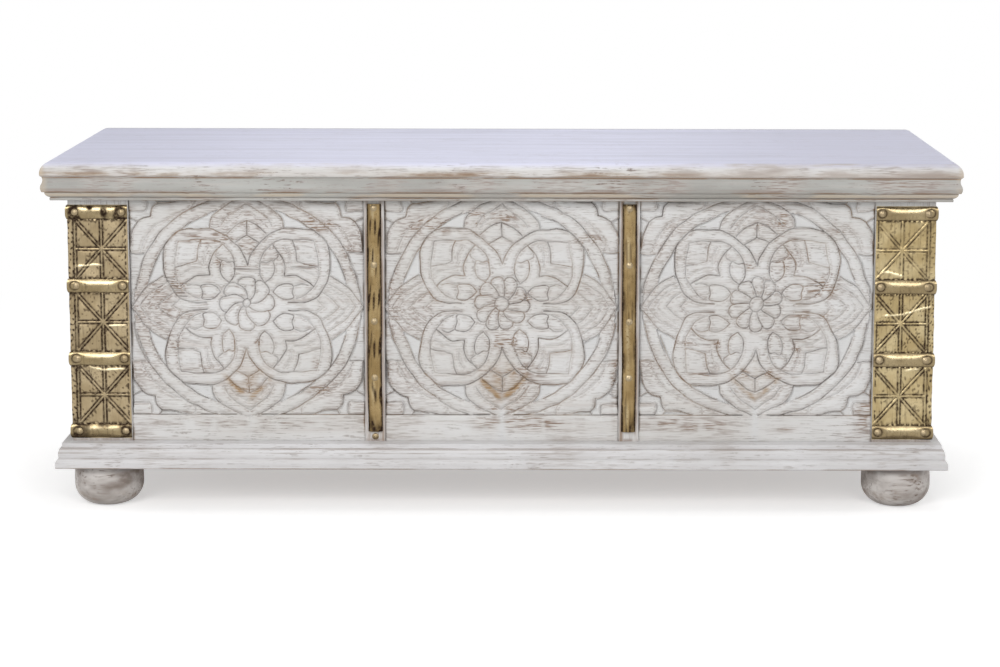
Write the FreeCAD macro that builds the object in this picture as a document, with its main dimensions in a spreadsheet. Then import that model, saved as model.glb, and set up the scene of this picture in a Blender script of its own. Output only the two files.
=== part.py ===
import FreeCAD, Part
import math
import operator
import os
from types import SimpleNamespace

import Sketcher

# A long wooden trunk with a hinged lid, carved front panels, brass-clad front posts, a plinth and bun feet.
# Millimetres. The origin is on the floor under the middle of the trunk, +Z is up and the front faces -Y.

SIZES = {
    # carcass
    "body_length": 1102,
    "body_depth": 378,
    "carcass_height": 378,
    "post_width": 76.5,
    "post_depth": 60,
    "stile_width": 26,
    "panel_thickness": 18,
    "panel_setback": 1.5,
    "tongue_thickness": 8,
    "tongue_depth": 7,
    "rail_thickness": 22,
    "front_rail_height": 40,
    "floor_rail_height": 40,
    "frame_top_rail_height": 60,
    "frame_bottom_rail_height": 76,
    "tenon_length": 20,
    "tenon_shoulder": 9,
    "tenon_cheek": 6,
    "frame_panel_thickness": 12,
    "frame_panel_recess": 5,
    "floor_thickness": 10,
    "joint_play": 0.2,
    "cut_overrun": 5,
    # plinth, as heights above its lower edge and insets from its widest line
    "plinth_height": 33,
    "plinth_overhang": 20.5,
    "plinth_edge_round": 1.5,
    "plinth_edge_rise": 0.4,
    "plinth_lip_height": 7.5,
    "plinth_lip_rise": 0.8,
    "plinth_neck_inset": 4.2,
    "plinth_neck_height": 13,
    "plinth_bulge_rise": 1.3,
    "plinth_quirk_inset": 5.2,
    "plinth_quirk_height": 25.5,
    "plinth_ledge_inset": 7.8,
    "plinth_ledge_slope": 1,
    # feet
    "foot_height": 56,
    "foot_radius": 44.5,
    "foot_belly_height": 27,
    "foot_sole_radius": 22,
    "foot_top_radius": 43,
    "foot_inset": 38,
    "foot_tenon_radius": 12,
    "foot_tenon_length": 30,
    # lid
    "lid_overhang": 29,
    "lid_thickness": 18.5,
    "batten_inset": 174.5,
    "batten_width": 44,
    "batten_thickness": 18,
    "batten_end_gap": 9,
    # lid lip, as drops below the lid board and insets from the lid's edge
    "lip_drop": 31,
    "lip_clearance": 1.5,
    "lip_cove_inset": 2.2,
    "lip_cove_height": 8.6,
    "lip_cove_rise": 1,
    "lip_bead_height": 11,
    "lip_bead_rise": 1.6,
    "lip_step_inset": 5,
    "lip_step_height": 2,
    "lip_ovolo_rise": 1.3,
    "lip_quirk_inset": 12.5,
    "lip_foot_inset": 11,
    "lip_foot_height": 3.8,
    "lip_foot_rise": 0.8,
    # corner brass
    "plate_thickness": 0.8,
    "brass_front_width": 75.5,
    "brass_side_width": 57,
    "brass_foot_gap": 3.5,
    "brass_top_gap": 8,
    "strap_height": 18.5,
    "strap_thickness": 1.9,
    "strap_crown_radius": 1.6,
    # stile strips
    "strip_width": 18.5,
    "strip_rise": 5,
    "strip_foot_gap": 13,
    "strip_top_gap": 6,
    # nails
    "nail_head_radius": 4.3,
    "nail_head_height": 1.6,
    "nail_shank_radius": 1.1,
    "nail_length": 15,
    "nail_outer_inset": 9,
    "nail_inner_inset": 7.5,
    "strip_nail_inset": 5,
    "strip_nail_pitch": 73,
    "bare_nail_drop": 7,
    # hinges
    "hinge_inset": 144.5,
    "leaf_length": 70,
    "leaf_width": 20,
    "leaf_thickness": 2,
    "knuckle_radius": 4,
    "knuckle_back_gap": 0.3,
    "knuckle_end_gap": 0.3,
    "pin_radius": 2,
    "pin_play": 0.05,
    "pin_knob_radius": 3,
    # screws
    "screw_head_radius": 3.6,
    "screw_head_height": 2,
    "screw_shank_radius": 1.7,
    "screw_length": 13,
    "screw_pitch": 24,
    "screw_recess": 0.2,
    # lid stay, with its drops measured from the hinge axis
    "stud_drop": 40,
    "pivot_drop": 14.4,
    "arm_width": 16,
    "arm_thickness": 3,
    "arm_gap": 0.5,
    "arm_tip": 14,
    "stud_radius": 3,
    "stud_play": 0.3,
    "stud_head_radius": 6.5,
    "stud_head_thickness": 3,
    "stud_collar_radius": 6,
    "stud_collar_length": 4.7,
    "stud_thread_length": 12,
    "rivet_radius": 3,
    "rivet_head_radius": 5.5,
    "rivet_head_thickness": 2,
    "bracket_thickness": 2.5,
    "bracket_length": 40,
    "bracket_width": 30,
    "bracket_tab_radius": 9,
    "bracket_screw_spread": 26,
}

ANGLES = {
    "lid_angle_degrees": 100,
}

# The lid board's edge is rounded by these shares of its thickness, above and below its widest line.
NOSE_TOP_SHARE = 0.76
NOSE_UNDER_SHARE = 0.14
# The stay's pivot and stud lie this share of the height between pivot and floor from the hinge axis.
STAY_REACH_SHARE = 0.53
LID_BOARDS = 3
FRONT_PANELS = 3
CORNER_STRAPS = 4
KNUCKLES = 5
STRIP_NAILS = 4
SIGNS = {"+": operator.add, "-": operator.sub, "*": operator.mul, "/": operator.truediv}
Vector = FreeCAD.Vector
X_AXIS = Vector(1, 0, 0)
Y_AXIS = Vector(0, 1, 0)
Z_AXIS = Vector(0, 0, 1)

doc = FreeCAD.newDocument("trunk")
sheet = doc.addObject("Spreadsheet::Sheet", "Sizes")
for row, (alias, number) in enumerate({**SIZES, **ANGLES}.items(), start=1):
    sheet.set(f"A{row}", alias.replace("_", " "))
    sheet.set(f"B{row}", str(number))
    sheet.setAlias(f"B{row}", alias)
doc.recompute()


# Sizes that carry their expression

class Size:
    """A number together with the sheet expression that gives it."""

    def __init__(self, value, text):
        self.value = value
        self.text = text

    def __add__(self, other):
        return combine(self, "+", other)

    def __radd__(self, other):
        return combine(other, "+", self)

    def __sub__(self, other):
        return combine(self, "-", other)

    def __rsub__(self, other):
        return combine(other, "-", self)

    def __mul__(self, other):
        return combine(self, "*", other)

    def __rmul__(self, other):
        return combine(other, "*", self)

    def __truediv__(self, other):
        return combine(self, "/", other)

    def __neg__(self):
        return combine(0, "-", self)


def as_size(amount):
    if isinstance(amount, Size):
        return amount
    return Size(amount, str(amount))


def combine(left, sign, right):
    first, second = as_size(left), as_size(right)
    return Size(SIGNS[sign](first.value, second.value), f"({first.text} {sign} {second.text})")


def square_root(amount):
    return Size(math.sqrt(amount.value), f"sqrt({amount.text})")


def sine(degrees):
    return Size(math.sin(math.radians(degrees.value)), f"sin({degrees.text})")


def arc_sine(share):
    return Size(math.degrees(math.asin(share.value)), f"asin({share.text})")


def bind(item, prop, amount):
    if isinstance(amount, Size):
        item.setExpression(prop, amount.text)


def place(item, corner):
    for axis, amount in zip("xyz", corner):
        bind(item, f"Placement.Base.{axis}", amount)


def turn(item, axis, degrees):
    item.Placement = FreeCAD.Placement(Vector(), FreeCAD.Rotation(axis, degrees))


s = SimpleNamespace(**{
    alias: Size(float(sheet.get(alias)), f"Sizes.{alias}") for alias in (*SIZES, *ANGLES)})


# Simple solids and booleans

def block(name, low, high):
    made = doc.addObject("Part::Box", name)
    for prop, start, end in zip(("Length", "Width", "Height"), low, high):
        bind(made, prop, end - start)
    place(made, low)
    return made


def grown(low, high, margin):
    return tuple(c - margin for c in low), tuple(c + margin for c in high)


def rod(name, start, length, radius):
    """A cylinder that runs along +X from its start."""
    made = doc.addObject("Part::Cylinder", name)
    turn(made, Y_AXIS, 90)
    bind(made, "Radius", radius)
    bind(made, "Height", length)
    place(made, start)
    return made


def joined(name, shapes):
    made = doc.addObject("Part::MultiFuse", name)
    made.Shapes = shapes
    return made


def grouped(name, shapes):
    made = doc.addObject("Part::Compound", name)
    made.Links = shapes
    return made


def cut(name, base, tools):
    for index, tool in enumerate(tools):
        made = doc.addObject("Part::Cut", f"{name}_cut{index}")
        made.Base = base
        made.Tool = tool
        base = made
    return base


def common(name, first, second):
    made = doc.addObject("Part::Common", name)
    made.Base = first
    made.Tool = second
    return made


def mirrored(name, source):
    """The same piece on the other end of the trunk."""
    made = doc.addObject("Part::Mirroring", name)
    made.Source = source
    made.Normal = X_AXIS
    return made


def copied(name, source, axis, degrees, corner):
    made = doc.addObject("App::Link", name)
    made.LinkedObject = source
    made.LinkPlacement = FreeCAD.Placement(Vector(), FreeCAD.Rotation(axis, degrees))
    for letter, amount in zip("xyz", corner):
        bind(made, f"LinkPlacement.Base.{letter}", amount)
    return made


# Sketched solids

class Arc:
    """The rise of an arc over the line to the next corner, on the left or the right of the way round."""

    def __init__(self, rise, left):
        self.rise = rise
        self.left = left


def origin_plane(body, role):
    return next(plane for plane in body.Origin.OriginFeatures if plane.Role == role)


def arc_centre(start, end, arc):
    """An arc's radius, its centre's u and v, and whether the centre strays along u rather than v."""
    run_u = as_size(end[0]) - start[0]
    run_v = as_size(end[1]) - start[1]
    chord = square_root(run_u * run_u + run_v * run_v)
    radius = (chord * chord / 4 + arc.rise * arc.rise) / (2 * arc.rise)
    offset = (arc.rise - radius) / chord
    if not arc.left:
        offset = 0 - offset
    centre_u = (as_size(start[0]) + end[0]) / 2 - run_v * offset
    centre_v = (as_size(start[1]) + end[1]) / 2 + run_u * offset
    return radius, centre_u, centre_v, abs(run_v.value) > abs(run_u.value)


def arc_geometry(start, end, arc):
    """An arc of a circle, with the sketcher's handles for its first and last point."""
    radius, centre_u, centre_v, _ = arc_centre(start, end, arc)
    centre = Vector(centre_u.value, centre_v.value, 0)
    angles = []
    for corner in (start, end):
        angles.append(math.atan2(as_size(corner[1]).value - centre.y, as_size(corner[0]).value - centre.x))
    handles = (1, 2)
    if arc.left:
        angles.reverse()
        handles = (2, 1)
    return Part.ArcOfCircle(Part.Circle(centre, Z_AXIS, radius.value), angles[0], angles[1]), handles


def outline(body, name, role, corners):
    """A closed sketch on an origin plane: each corner is (u, v), or (u, v, Arc) where an arc follows it."""
    sketch = body.newObject("Sketcher::SketchObject", name)
    sketch.AttachmentSupport = (origin_plane(body, role), [""])
    sketch.MapMode = "FlatFace"
    handles = []
    for start, end in zip(corners, corners[1:] + corners[:1]):
        if len(start) > 2:
            curve, ends = arc_geometry(start, end, start[2])
        else:
            points = [Vector(as_size(c[0]).value, as_size(c[1]).value, 0) for c in (start, end)]
            curve, ends = Part.LineSegment(points[0], points[1]), (1, 2)
        sketch.addGeometry(curve)
        handles.append(ends)
    for index, corner in enumerate(corners):
        after = (index + 1) % len(corners)
        sketch.addConstraint(
            Sketcher.Constraint("Coincident", index, handles[index][1], after, handles[after][0]))
        for kind, line, amount in (("DistanceX", -2, corner[0]), ("DistanceY", -1, corner[1])):
            if isinstance(amount, Size):
                number = sketch.addConstraint(
                    Sketcher.Constraint(kind, -1, 1, index, handles[index][0], amount.value))
                sketch.setExpression(f"Constraints[{number}]", amount.text)
            else:
                sketch.addConstraint(
                    Sketcher.Constraint("PointOnObject", index, handles[index][0], line))
        if len(corner) > 2:
            _, centre_u, centre_v, along_u = arc_centre(corner, corners[after], corner[2])
            kind, amount = ("DistanceX", centre_u) if along_u else ("DistanceY", centre_v)
            number = sketch.addConstraint(Sketcher.Constraint(kind, -1, 1, index, 3, amount.value))
            sketch.setExpression(f"Constraints[{number}]", amount.text)
    return sketch


def padded(name, role, corners, length):
    """A body whose outline on an origin plane is drawn out by a length."""
    body = doc.addObject("PartDesign::Body", name)
    pad = body.newObject("PartDesign::Pad", f"{name}_pad")
    pad.Profile = outline(body, f"{name}_outline", role, corners)
    bind(pad, "Length", length)
    body.Tip = pad
    return body


def turned(name, corners):
    """A body of revolution about its own Z axis, from an outline of radii and heights."""
    body = doc.addObject("PartDesign::Body", name)
    sketch = outline(body, f"{name}_outline", "XZ_Plane", corners)
    spin = body.newObject("PartDesign::Revolution", f"{name}_spin")
    spin.Profile = sketch
    spin.ReferenceAxis = (sketch, ["V_Axis"])
    spin.Angle = 360
    body.Tip = spin
    return body


def pocketed(body, name, role, corners):
    """Cuts an outline on an origin plane right through a body."""
    pocket = body.newObject("PartDesign::Pocket", name)
    pocket.Profile = outline(body, f"{name}_outline", role, corners)
    pocket.SideType = "Symmetric"
    pocket.Type = "Length"
    bind(pocket, "Length", 2 * (s.carcass_height + s.cut_overrun))
    body.Tip = pocket


def rounded(body, name, radius, picks):
    """Rounds the edges of a body's last feature whose middles pass a test."""
    doc.recompute()
    base = body.Tip
    edges = [f"Edge{i}" for i, edge in enumerate(base.Shape.Edges, start=1) if picks(edge.CenterOfMass)]
    fillet = body.newObject("PartDesign::Fillet", name)
    fillet.Base = (base, edges)
    bind(fillet, "Radius", radius)
    body.Tip = fillet


def moulding(name, profile, run, overhang, mitred_start, mitred_end):
    """A moulding along its own +X, its back on y = 0 and its face to -Y, mitred outwards where asked."""
    body = padded(name, "YZ_Plane", profile, run)
    past = s.cut_overrun
    if mitred_start:
        pocketed(body, f"{name}_start_mitre", "XY_Plane",
                 [(-past, past), (overhang + past, past), (-past, -overhang - past)])
    if mitred_end:
        pocketed(body, f"{name}_end_mitre", "XY_Plane",
                 [(run + past, past), (run + past, -overhang - past), (run - overhang - past, past)])
    return body


nodes = {}


def node(name, piece):
    piece.Label = name
    nodes[name] = piece
    return piece


def node_pair(pattern, left):
    """Names a left-hand piece and makes its right-hand twin."""
    node(pattern.format("left"), left)
    node(pattern.format("right"), mirrored(pattern.format("right"), left))


# Main lines of the trunk

half = s.body_length / 2
front = (s.lid_overhang - s.plinth_overhang) / 2 - s.body_depth / 2
back = front + s.body_depth
base = s.foot_height
top = base + s.carcass_height
post_face = half - s.post_width
front_post_back = front + s.post_depth
back_post_front = back - s.post_depth
panel_front = front + s.panel_setback
panel_back = panel_front + s.panel_thickness
panel_width = (2 * post_face - (FRONT_PANELS - 1) * s.stile_width) / FRONT_PANELS
stile_x = (panel_width + s.stile_width) / 2
rail_face = half - s.rail_thickness
front_rail_back = panel_back + s.rail_thickness
back_rail_front = back - s.rail_thickness
floor_low = base + s.floor_rail_height
frame_bottom = base + s.frame_bottom_rail_height
frame_top = top - s.frame_top_rail_height
lip_low = top - s.lip_drop
ledge = base + s.plinth_height
pin_y = back + s.knuckle_radius + s.knuckle_back_gap
foot_x = half - s.post_width / 2
hinge_x = post_face - s.hinge_inset
batten_x = post_face - s.batten_inset


# Nails and screws, driven along their own -Z

def bulge_rise(run_in, run_up):
    """The rise of an arc that starts square to one run and covers both."""
    span = run_in * run_in + run_up * run_up
    radius = span / (2 * run_in)
    return radius - square_root(radius * radius - span / 4)


nail = turned("nail", [
    (0, 0 - s.nail_length),
    (s.nail_shank_radius, 3 * s.nail_shank_radius - s.nail_length),
    (s.nail_shank_radius, 0),
    (s.nail_head_radius, 0, Arc(bulge_rise(s.nail_head_height, s.nail_head_radius), False)),
    (0, s.nail_head_height),
])
screw = turned("screw", [
    (0, 0 - s.screw_length),
    (s.screw_shank_radius, 2 * s.screw_shank_radius - s.screw_length),
    (s.screw_shank_radius, 0 - s.screw_head_height),
    (s.screw_head_radius, 0),
    (0, 0),
])

brass_low = ledge + s.brass_foot_gap
brass_high = lip_low - s.brass_top_gap
strap_pitch = (brass_high - brass_low - s.strap_height) / (CORNER_STRAPS - 1)
strap_lows = [brass_low + strap_pitch * index for index in range(CORNER_STRAPS)]
strap_out = s.plate_thickness + s.strap_thickness
strip_low = ledge + s.strip_foot_gap
strip_high = lip_low - s.strip_top_gap

# The side's first nail stands a nail's length back from the front, where it misses the front's first nail
corner_nail_copies = []
for low in strap_lows:
    level = low + s.strap_height / 2
    for run in (s.nail_outer_inset, s.brass_front_width - s.nail_inner_inset):
        corner_nail_copies.append(copied(
            "front_nail", nail, X_AXIS, 90, (run - half, front - strap_out, level)))
    for run in (s.nail_length, s.brass_side_width - s.nail_inner_inset):
        corner_nail_copies.append(copied(
            "side_nail", nail, Y_AXIS, -90, (0 - half - strap_out, front + run, level)))
left_corner_nails = grouped("left_corner_nails", corner_nail_copies)
right_corner_nails = mirrored("right_corner_nails", left_corner_nails)
node("corner_nails", grouped("corner_nails", [left_corner_nails, right_corner_nails]))

strip_nail_copies = []
for index in range(STRIP_NAILS):
    level = strip_high - s.strip_nail_inset - s.strip_nail_pitch * index
    strip_nail_copies.append(copied(
        "strip_nail", nail, X_AXIS, 90, (0 - stile_x, front - s.strip_rise, level)))
left_strip_nails = grouped("left_strip_nails", strip_nail_copies)
right_strip_nails = mirrored("right_strip_nails", left_strip_nails)
bare_nail = copied("bare_nail", nail, X_AXIS, 90, (0 - stile_x, front, strip_low - s.bare_nail_drop))
node("strip_nails", grouped("strip_nails", [left_strip_nails, right_strip_nails, bare_nail]))


# The lid stay's places: its stud and its pivot lie equally far from the hinge axis, so the arm turns half as
# far as the lid

opening = Size(s.lid_angle_degrees.value, f"({s.lid_angle_degrees.text} * 1deg)")
stud_z = top - s.stud_drop
pivot_z = top - s.pivot_drop
stay_reach = (pivot_z - floor_low - s.floor_thickness) * STAY_REACH_SHARE
stud_y = pin_y - square_root(stay_reach * stay_reach - s.stud_drop * s.stud_drop)
pivot_y = pin_y - square_root(stay_reach * stay_reach - s.pivot_drop * s.pivot_drop)
stud_angle = arc_sine(s.stud_drop / stay_reach)
pivot_angle = arc_sine(s.pivot_drop / stay_reach)
arm_lean = (stud_angle + pivot_angle) / 2
closed_span = 2 * stay_reach * sine((stud_angle - pivot_angle) / 2)
open_span = 2 * stay_reach * sine((stud_angle - pivot_angle + opening) / 2)
arm_outer = rail_face - s.stud_collar_length - s.arm_gap
arm_inner = arm_outer - s.arm_thickness
tab_outer = arm_inner - s.arm_gap
tab_inner = tab_outer - s.bracket_thickness
bracket_end = tab_outer - s.bracket_width

screw_line = back - s.leaf_width / 2
body_screw_copies = []
lid_screw_copies = []
for side in (-1, 1):
    for step in (-1, 0, 1):
        screw_x = side * hinge_x + step * s.screw_pitch
        body_screw_copies.append(copied(
            "body_screw", screw, X_AXIS, 0, (screw_x, screw_line, top - s.screw_recess)))
        lid_screw_copies.append(copied(
            "lid_screw", screw, X_AXIS, 180, (screw_x, screw_line, top + s.screw_recess)))
    lid_screw_copies.append(copied(
        "bracket_screw", screw, X_AXIS, 180,
        (bracket_end + s.bracket_width / 3, pivot_y + side * s.bracket_screw_spread / 2,
         top - s.bracket_thickness + s.screw_recess)))
body_screws = node("hinge_body_screws", grouped("hinge_body_screws", body_screw_copies))
lid_screws = node("lid_screws", grouped("lid_screws", lid_screw_copies))


# Joinery: each rail or panel gives its own solid and the cutter for its mortises or grooves

def railed(name, along, low, high):
    """A rail along an axis with a stub tenon on each end, and the cutter for both mortises."""
    reach = [s.tenon_length if axis == along else 0 - s.tenon_cheek for axis in "xy"]
    reach.append(0 - s.tenon_shoulder)
    bar_low = tuple(c - r for c, r in zip(low, reach))
    bar_high = tuple(c + r for c, r in zip(high, reach))
    piece = joined(name, [block(f"{name}_bar", low, high), block(f"{name}_tenons", bar_low, bar_high)])
    return piece, block(f"{name}_mortise", *grown(bar_low, bar_high, s.joint_play))


def front_panel(name, middle):
    """A front panel with a tongue down each side, and the cutter for its grooves."""
    tongue_front = panel_front + (s.panel_thickness - s.tongue_thickness) / 2
    low = (middle - panel_width / 2, panel_front, base)
    high = (middle + panel_width / 2, panel_back, top)
    tongue_low = (low[0] - s.tongue_depth, tongue_front, base)
    tongue_high = (high[0] + s.tongue_depth, tongue_front + s.tongue_thickness, top)
    board = block(f"{name}_board", low, high)
    tongue = block(f"{name}_tongue", tongue_low, tongue_high)
    groove = block(f"{name}_groove", *grown(tongue_low, tongue_high, s.joint_play))
    return joined(name, [board, tongue]), groove


def framed_panel(name, low, high):
    """A thin panel whose edges sit in the grooves of its frame, and the cutter for those grooves."""
    return block(name, low, high), block(f"{name}_groove", *grown(low, high, s.joint_play))


front_top_rail, front_top_mortise = railed(
    "front_top_rail", "x",
    (0 - post_face, panel_back, top - s.front_rail_height), (post_face, front_rail_back, top))
front_floor_rail, front_floor_mortise = railed(
    "front_floor_rail", "x", (0 - post_face, panel_back, base), (post_face, front_rail_back, floor_low))
back_top_bar, back_top_mortise = railed(
    "back_top_bar", "x", (0 - post_face, back_rail_front, frame_top), (post_face, back, top))
back_bottom_bar, back_bottom_mortise = railed(
    "back_bottom_bar", "x", (0 - post_face, back_rail_front, base), (post_face, back, frame_bottom))
side_top_bar, side_top_mortise = railed(
    "side_top_bar", "y", (0 - half, front_post_back, frame_top), (0 - rail_face, back_post_front, top))
side_bottom_bar, side_bottom_mortise = railed(
    "side_bottom_bar", "y",
    (0 - half, front_post_back, base), (0 - rail_face, back_post_front, frame_bottom))
node("front_top_rail", front_top_rail)
node("front_floor_rail", front_floor_rail)

panel_low = frame_bottom - s.tongue_depth
panel_high = frame_top + s.tongue_depth
back_panel_face = back - s.frame_panel_recess
back_panel, back_panel_groove = framed_panel(
    "back_panel",
    (0 - post_face - s.tongue_depth, back_panel_face - s.frame_panel_thickness, panel_low),
    (post_face + s.tongue_depth, back_panel_face, panel_high))
side_panel_face = s.frame_panel_recess - half
side_panel, side_panel_groove = framed_panel(
    "side_panel",
    (side_panel_face, front_post_back - s.tongue_depth, panel_low),
    (side_panel_face + s.frame_panel_thickness, back_post_front + s.tongue_depth, panel_high))
node("back_panel", back_panel)
node_pair("side_panel_{}", side_panel)

floor_board, floor_groove = framed_panel(
    "floor_board",
    (0 - rail_face - s.tongue_depth, panel_back + s.joint_play, floor_low),
    (rail_face + s.tongue_depth, back_rail_front + s.tongue_depth, floor_low + s.floor_thickness))


# Front panels, stiles and posts

def post_block(name, side, low_y, high_y, margin):
    """A corner post's block on the left (-1) or the right (1), or with a margin the notch that clears it."""
    low_x, high_x = (0 - half, 0 - post_face) if side < 0 else (post_face, half)
    low = (low_x - margin, low_y - margin, base - margin)
    high = (high_x + margin, high_y + margin, top + margin)
    return block(name, low, high)


left_panel, left_panel_groove = front_panel("left_panel", 0 - panel_width - s.stile_width)
middle_panel, middle_panel_groove = front_panel("middle_panel", as_size(0))
node_pair("front_panel_{}", cut("left_panel", left_panel, [left_corner_nails]))
node("front_panel_middle", middle_panel)

stile_bar = block(
    "stile_bar",
    (0 - stile_x - s.stile_width / 2, front, base), (s.stile_width / 2 - stile_x, panel_back, top))
stile = cut("stile", stile_bar, [left_panel_groove, middle_panel_groove, left_strip_nails])
node("front_stile_left", cut("front_stile_left", stile, [bare_nail]))
node("front_stile_right", mirrored("front_stile_right", stile))

foot_places = {"front": front + s.foot_inset, "back": back - s.foot_inset}
foot_bores = {}
for end, foot_y in foot_places.items():
    bore = doc.addObject("Part::Cylinder", f"{end}_foot_bore")
    bind(bore, "Radius", s.foot_tenon_radius + s.joint_play)
    bind(bore, "Height", s.foot_tenon_length + s.joint_play)
    place(bore, (0 - foot_x, foot_y, base))
    foot_bores[end] = bore
node_pair("front_{}_post", cut(
    "front_post", post_block("front_post_block", -1, front, front_post_back, 0),
    [left_panel_groove, front_top_mortise, front_floor_mortise, side_top_mortise, side_bottom_mortise,
     side_panel_groove, foot_bores["front"], left_corner_nails]))
node_pair("back_{}_post", cut(
    "back_post", post_block("back_post_block", -1, back_post_front, back, 0),
    [back_panel_groove, back_top_mortise, back_bottom_mortise, side_top_mortise, side_bottom_mortise,
     side_panel_groove, foot_bores["back"]]))


# Frames of the sides and the back, and the floor

node_pair("side_bottom_rail_{}", cut(
    "side_bottom_rail", side_bottom_bar, [side_panel_groove, floor_groove, left_corner_nails]))
side_top_rail = node(
    "side_top_rail_left", cut("side_top_rail", side_top_bar, [side_panel_groove, left_corner_nails]))
node("back_bottom_rail", cut("back_bottom_rail", back_bottom_bar, [back_panel_groove, floor_groove]))
notches = []
for side in (-1, 1):
    notches.append(post_block("front_notch", side, front, front_post_back, s.joint_play))
    notches.append(post_block("back_notch", side, back_post_front, back, s.joint_play))
node("floor_panel", cut("floor_panel", floor_board, notches))


# Plinth and feet

plinth_profile = [
    (0, 0),
    (s.plinth_edge_round - s.plinth_overhang, 0, Arc(s.plinth_edge_rise, True)),
    (0 - s.plinth_overhang, s.plinth_edge_round),
    (0 - s.plinth_overhang, s.plinth_lip_height, Arc(s.plinth_lip_rise, True)),
    (s.plinth_neck_inset - s.plinth_overhang, s.plinth_neck_height, Arc(s.plinth_bulge_rise, True)),
    (s.plinth_quirk_inset - s.plinth_overhang, s.plinth_quirk_height),
    (s.plinth_ledge_inset - s.plinth_overhang, s.plinth_quirk_height),
    (s.plinth_ledge_inset - s.plinth_overhang, s.plinth_height - s.plinth_ledge_slope),
    (0, s.plinth_height),
]
plinth_length = s.body_length + 2 * s.plinth_overhang
plinth_depth = s.body_depth + 2 * s.plinth_overhang
plinth_front = moulding("plinth_front", plinth_profile, plinth_length, s.plinth_overhang, True, True)
place(plinth_front, (0 - plinth_length / 2, front, base))
plinth_back = moulding("plinth_back", plinth_profile, plinth_length, s.plinth_overhang, True, True)
turn(plinth_back, Z_AXIS, 180)
place(plinth_back, (plinth_length / 2, back, base))
plinth_left = moulding("plinth_left", plinth_profile, plinth_depth, s.plinth_overhang, True, True)
turn(plinth_left, Z_AXIS, -90)
place(plinth_left, (0 - half, back + s.plinth_overhang, base))
node("plinth_front", plinth_front)
node("plinth_back", plinth_back)
node_pair("plinth_{}", plinth_left)

foot_profile = [
    (0, 0),
    (s.foot_sole_radius, 0, Arc(bulge_rise(s.foot_radius - s.foot_sole_radius, s.foot_belly_height), False)),
    (s.foot_radius, s.foot_belly_height,
     Arc(bulge_rise(s.foot_radius - s.foot_top_radius, s.foot_height - s.foot_belly_height), False)),
    (s.foot_top_radius, s.foot_height),
    (s.foot_tenon_radius, s.foot_height),
    (s.foot_tenon_radius, s.foot_height + s.foot_tenon_length),
    (0, s.foot_height + s.foot_tenon_length),
]
for end, foot_y in foot_places.items():
    foot = turned(f"{end}_foot", foot_profile)
    place(foot, (0 - foot_x, foot_y, 0))
    node_pair(f"foot_{end}_{{}}", foot)


# Hinges, let into the back rail and the lid

leaf_starts = {side: side * hinge_x - s.leaf_length / 2 for side in (-1, 1)}


def hinge_leaf(name, knuckles, low, high, screws):
    """The left hinge's leaf between two heights, with its share of the knuckles."""
    start = leaf_starts[-1]
    knuckle_pitch = s.leaf_length / KNUCKLES
    knuckle_length = knuckle_pitch - s.knuckle_end_gap
    shapes = [block(f"{name}_plate", (start, back - s.leaf_width, low), (start + s.leaf_length, back, high))]
    for index in knuckles:
        knuckle_x = start + knuckle_pitch * index + s.knuckle_end_gap / 2
        shapes.append(block(f"{name}_web", (knuckle_x, back, low), (knuckle_x + knuckle_length, pin_y, high)))
        shapes.append(rod(f"{name}_knuckle", (knuckle_x, pin_y, top), knuckle_length, s.knuckle_radius))
    bore = rod(f"{name}_bore", (start - s.cut_overrun, pin_y, top), s.leaf_length + 2 * s.cut_overrun,
               s.pin_radius + s.pin_play)
    return cut(name, joined(f"{name}_solid", shapes), [bore, screws])


def leaf_recesses(low, high):
    """The recesses for both hinges' leaves between two heights."""
    recesses = []
    for start in leaf_starts.values():
        recesses.append(block(
            "leaf_recess", (start - s.joint_play, back - s.leaf_width - s.joint_play, low),
            (start + s.leaf_length + s.joint_play, back + s.cut_overrun, high)))
    return recesses


leaf_low = top - s.leaf_thickness
leaf_high = top + s.leaf_thickness
node_pair("hinge_body_leaf_{}", hinge_leaf("body_leaf", range(0, KNUCKLES, 2), leaf_low, top, body_screws))
node_pair("hinge_lid_leaf_{}", hinge_leaf("lid_leaf", range(1, KNUCKLES, 2), top, leaf_high, lid_screws))
knob_arc = Arc(bulge_rise(s.pin_knob_radius, s.pin_knob_radius), False)
pin = turned("pin", [
    (0, 0 - s.pin_knob_radius, knob_arc),
    (s.pin_knob_radius, 0),
    (s.pin_radius, 0),
    (s.pin_radius, s.leaf_length),
    (s.pin_knob_radius, s.leaf_length, knob_arc),
    (0, s.leaf_length + s.pin_knob_radius),
])
turn(pin, Y_AXIS, 90)
place(pin, (leaf_starts[-1], pin_y, top))
node_pair("hinge_pin_{}", pin)
node("back_top_rail", cut(
    "back_top_rail", back_top_bar,
    [back_panel_groove, *leaf_recesses(leaf_low, top + s.cut_overrun), body_screws]))


# Lid: boards cut from one slab with a rounded nose, lip mouldings and battens

lid_half = half + s.lid_overhang
lid_front = front - s.lid_overhang
slab = padded(
    "lid_slab", "XY_Plane",
    [(0 - lid_half, lid_front), (lid_half, lid_front), (lid_half, back), (0 - lid_half, back)],
    s.lid_thickness)
nose_top = s.lid_thickness * NOSE_TOP_SHARE
nose_under = s.lid_thickness * NOSE_UNDER_SHARE
rear_limit = (back - s.lid_thickness).value
rounded(slab, "lid_nose", nose_top, lambda point: point.z > nose_top.value and point.y < rear_limit)
rounded(slab, "lid_under_nose", nose_under,
        lambda point: point.z < nose_under.value / 2 and point.y < rear_limit)
place(slab, (0, 0, top))

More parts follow.
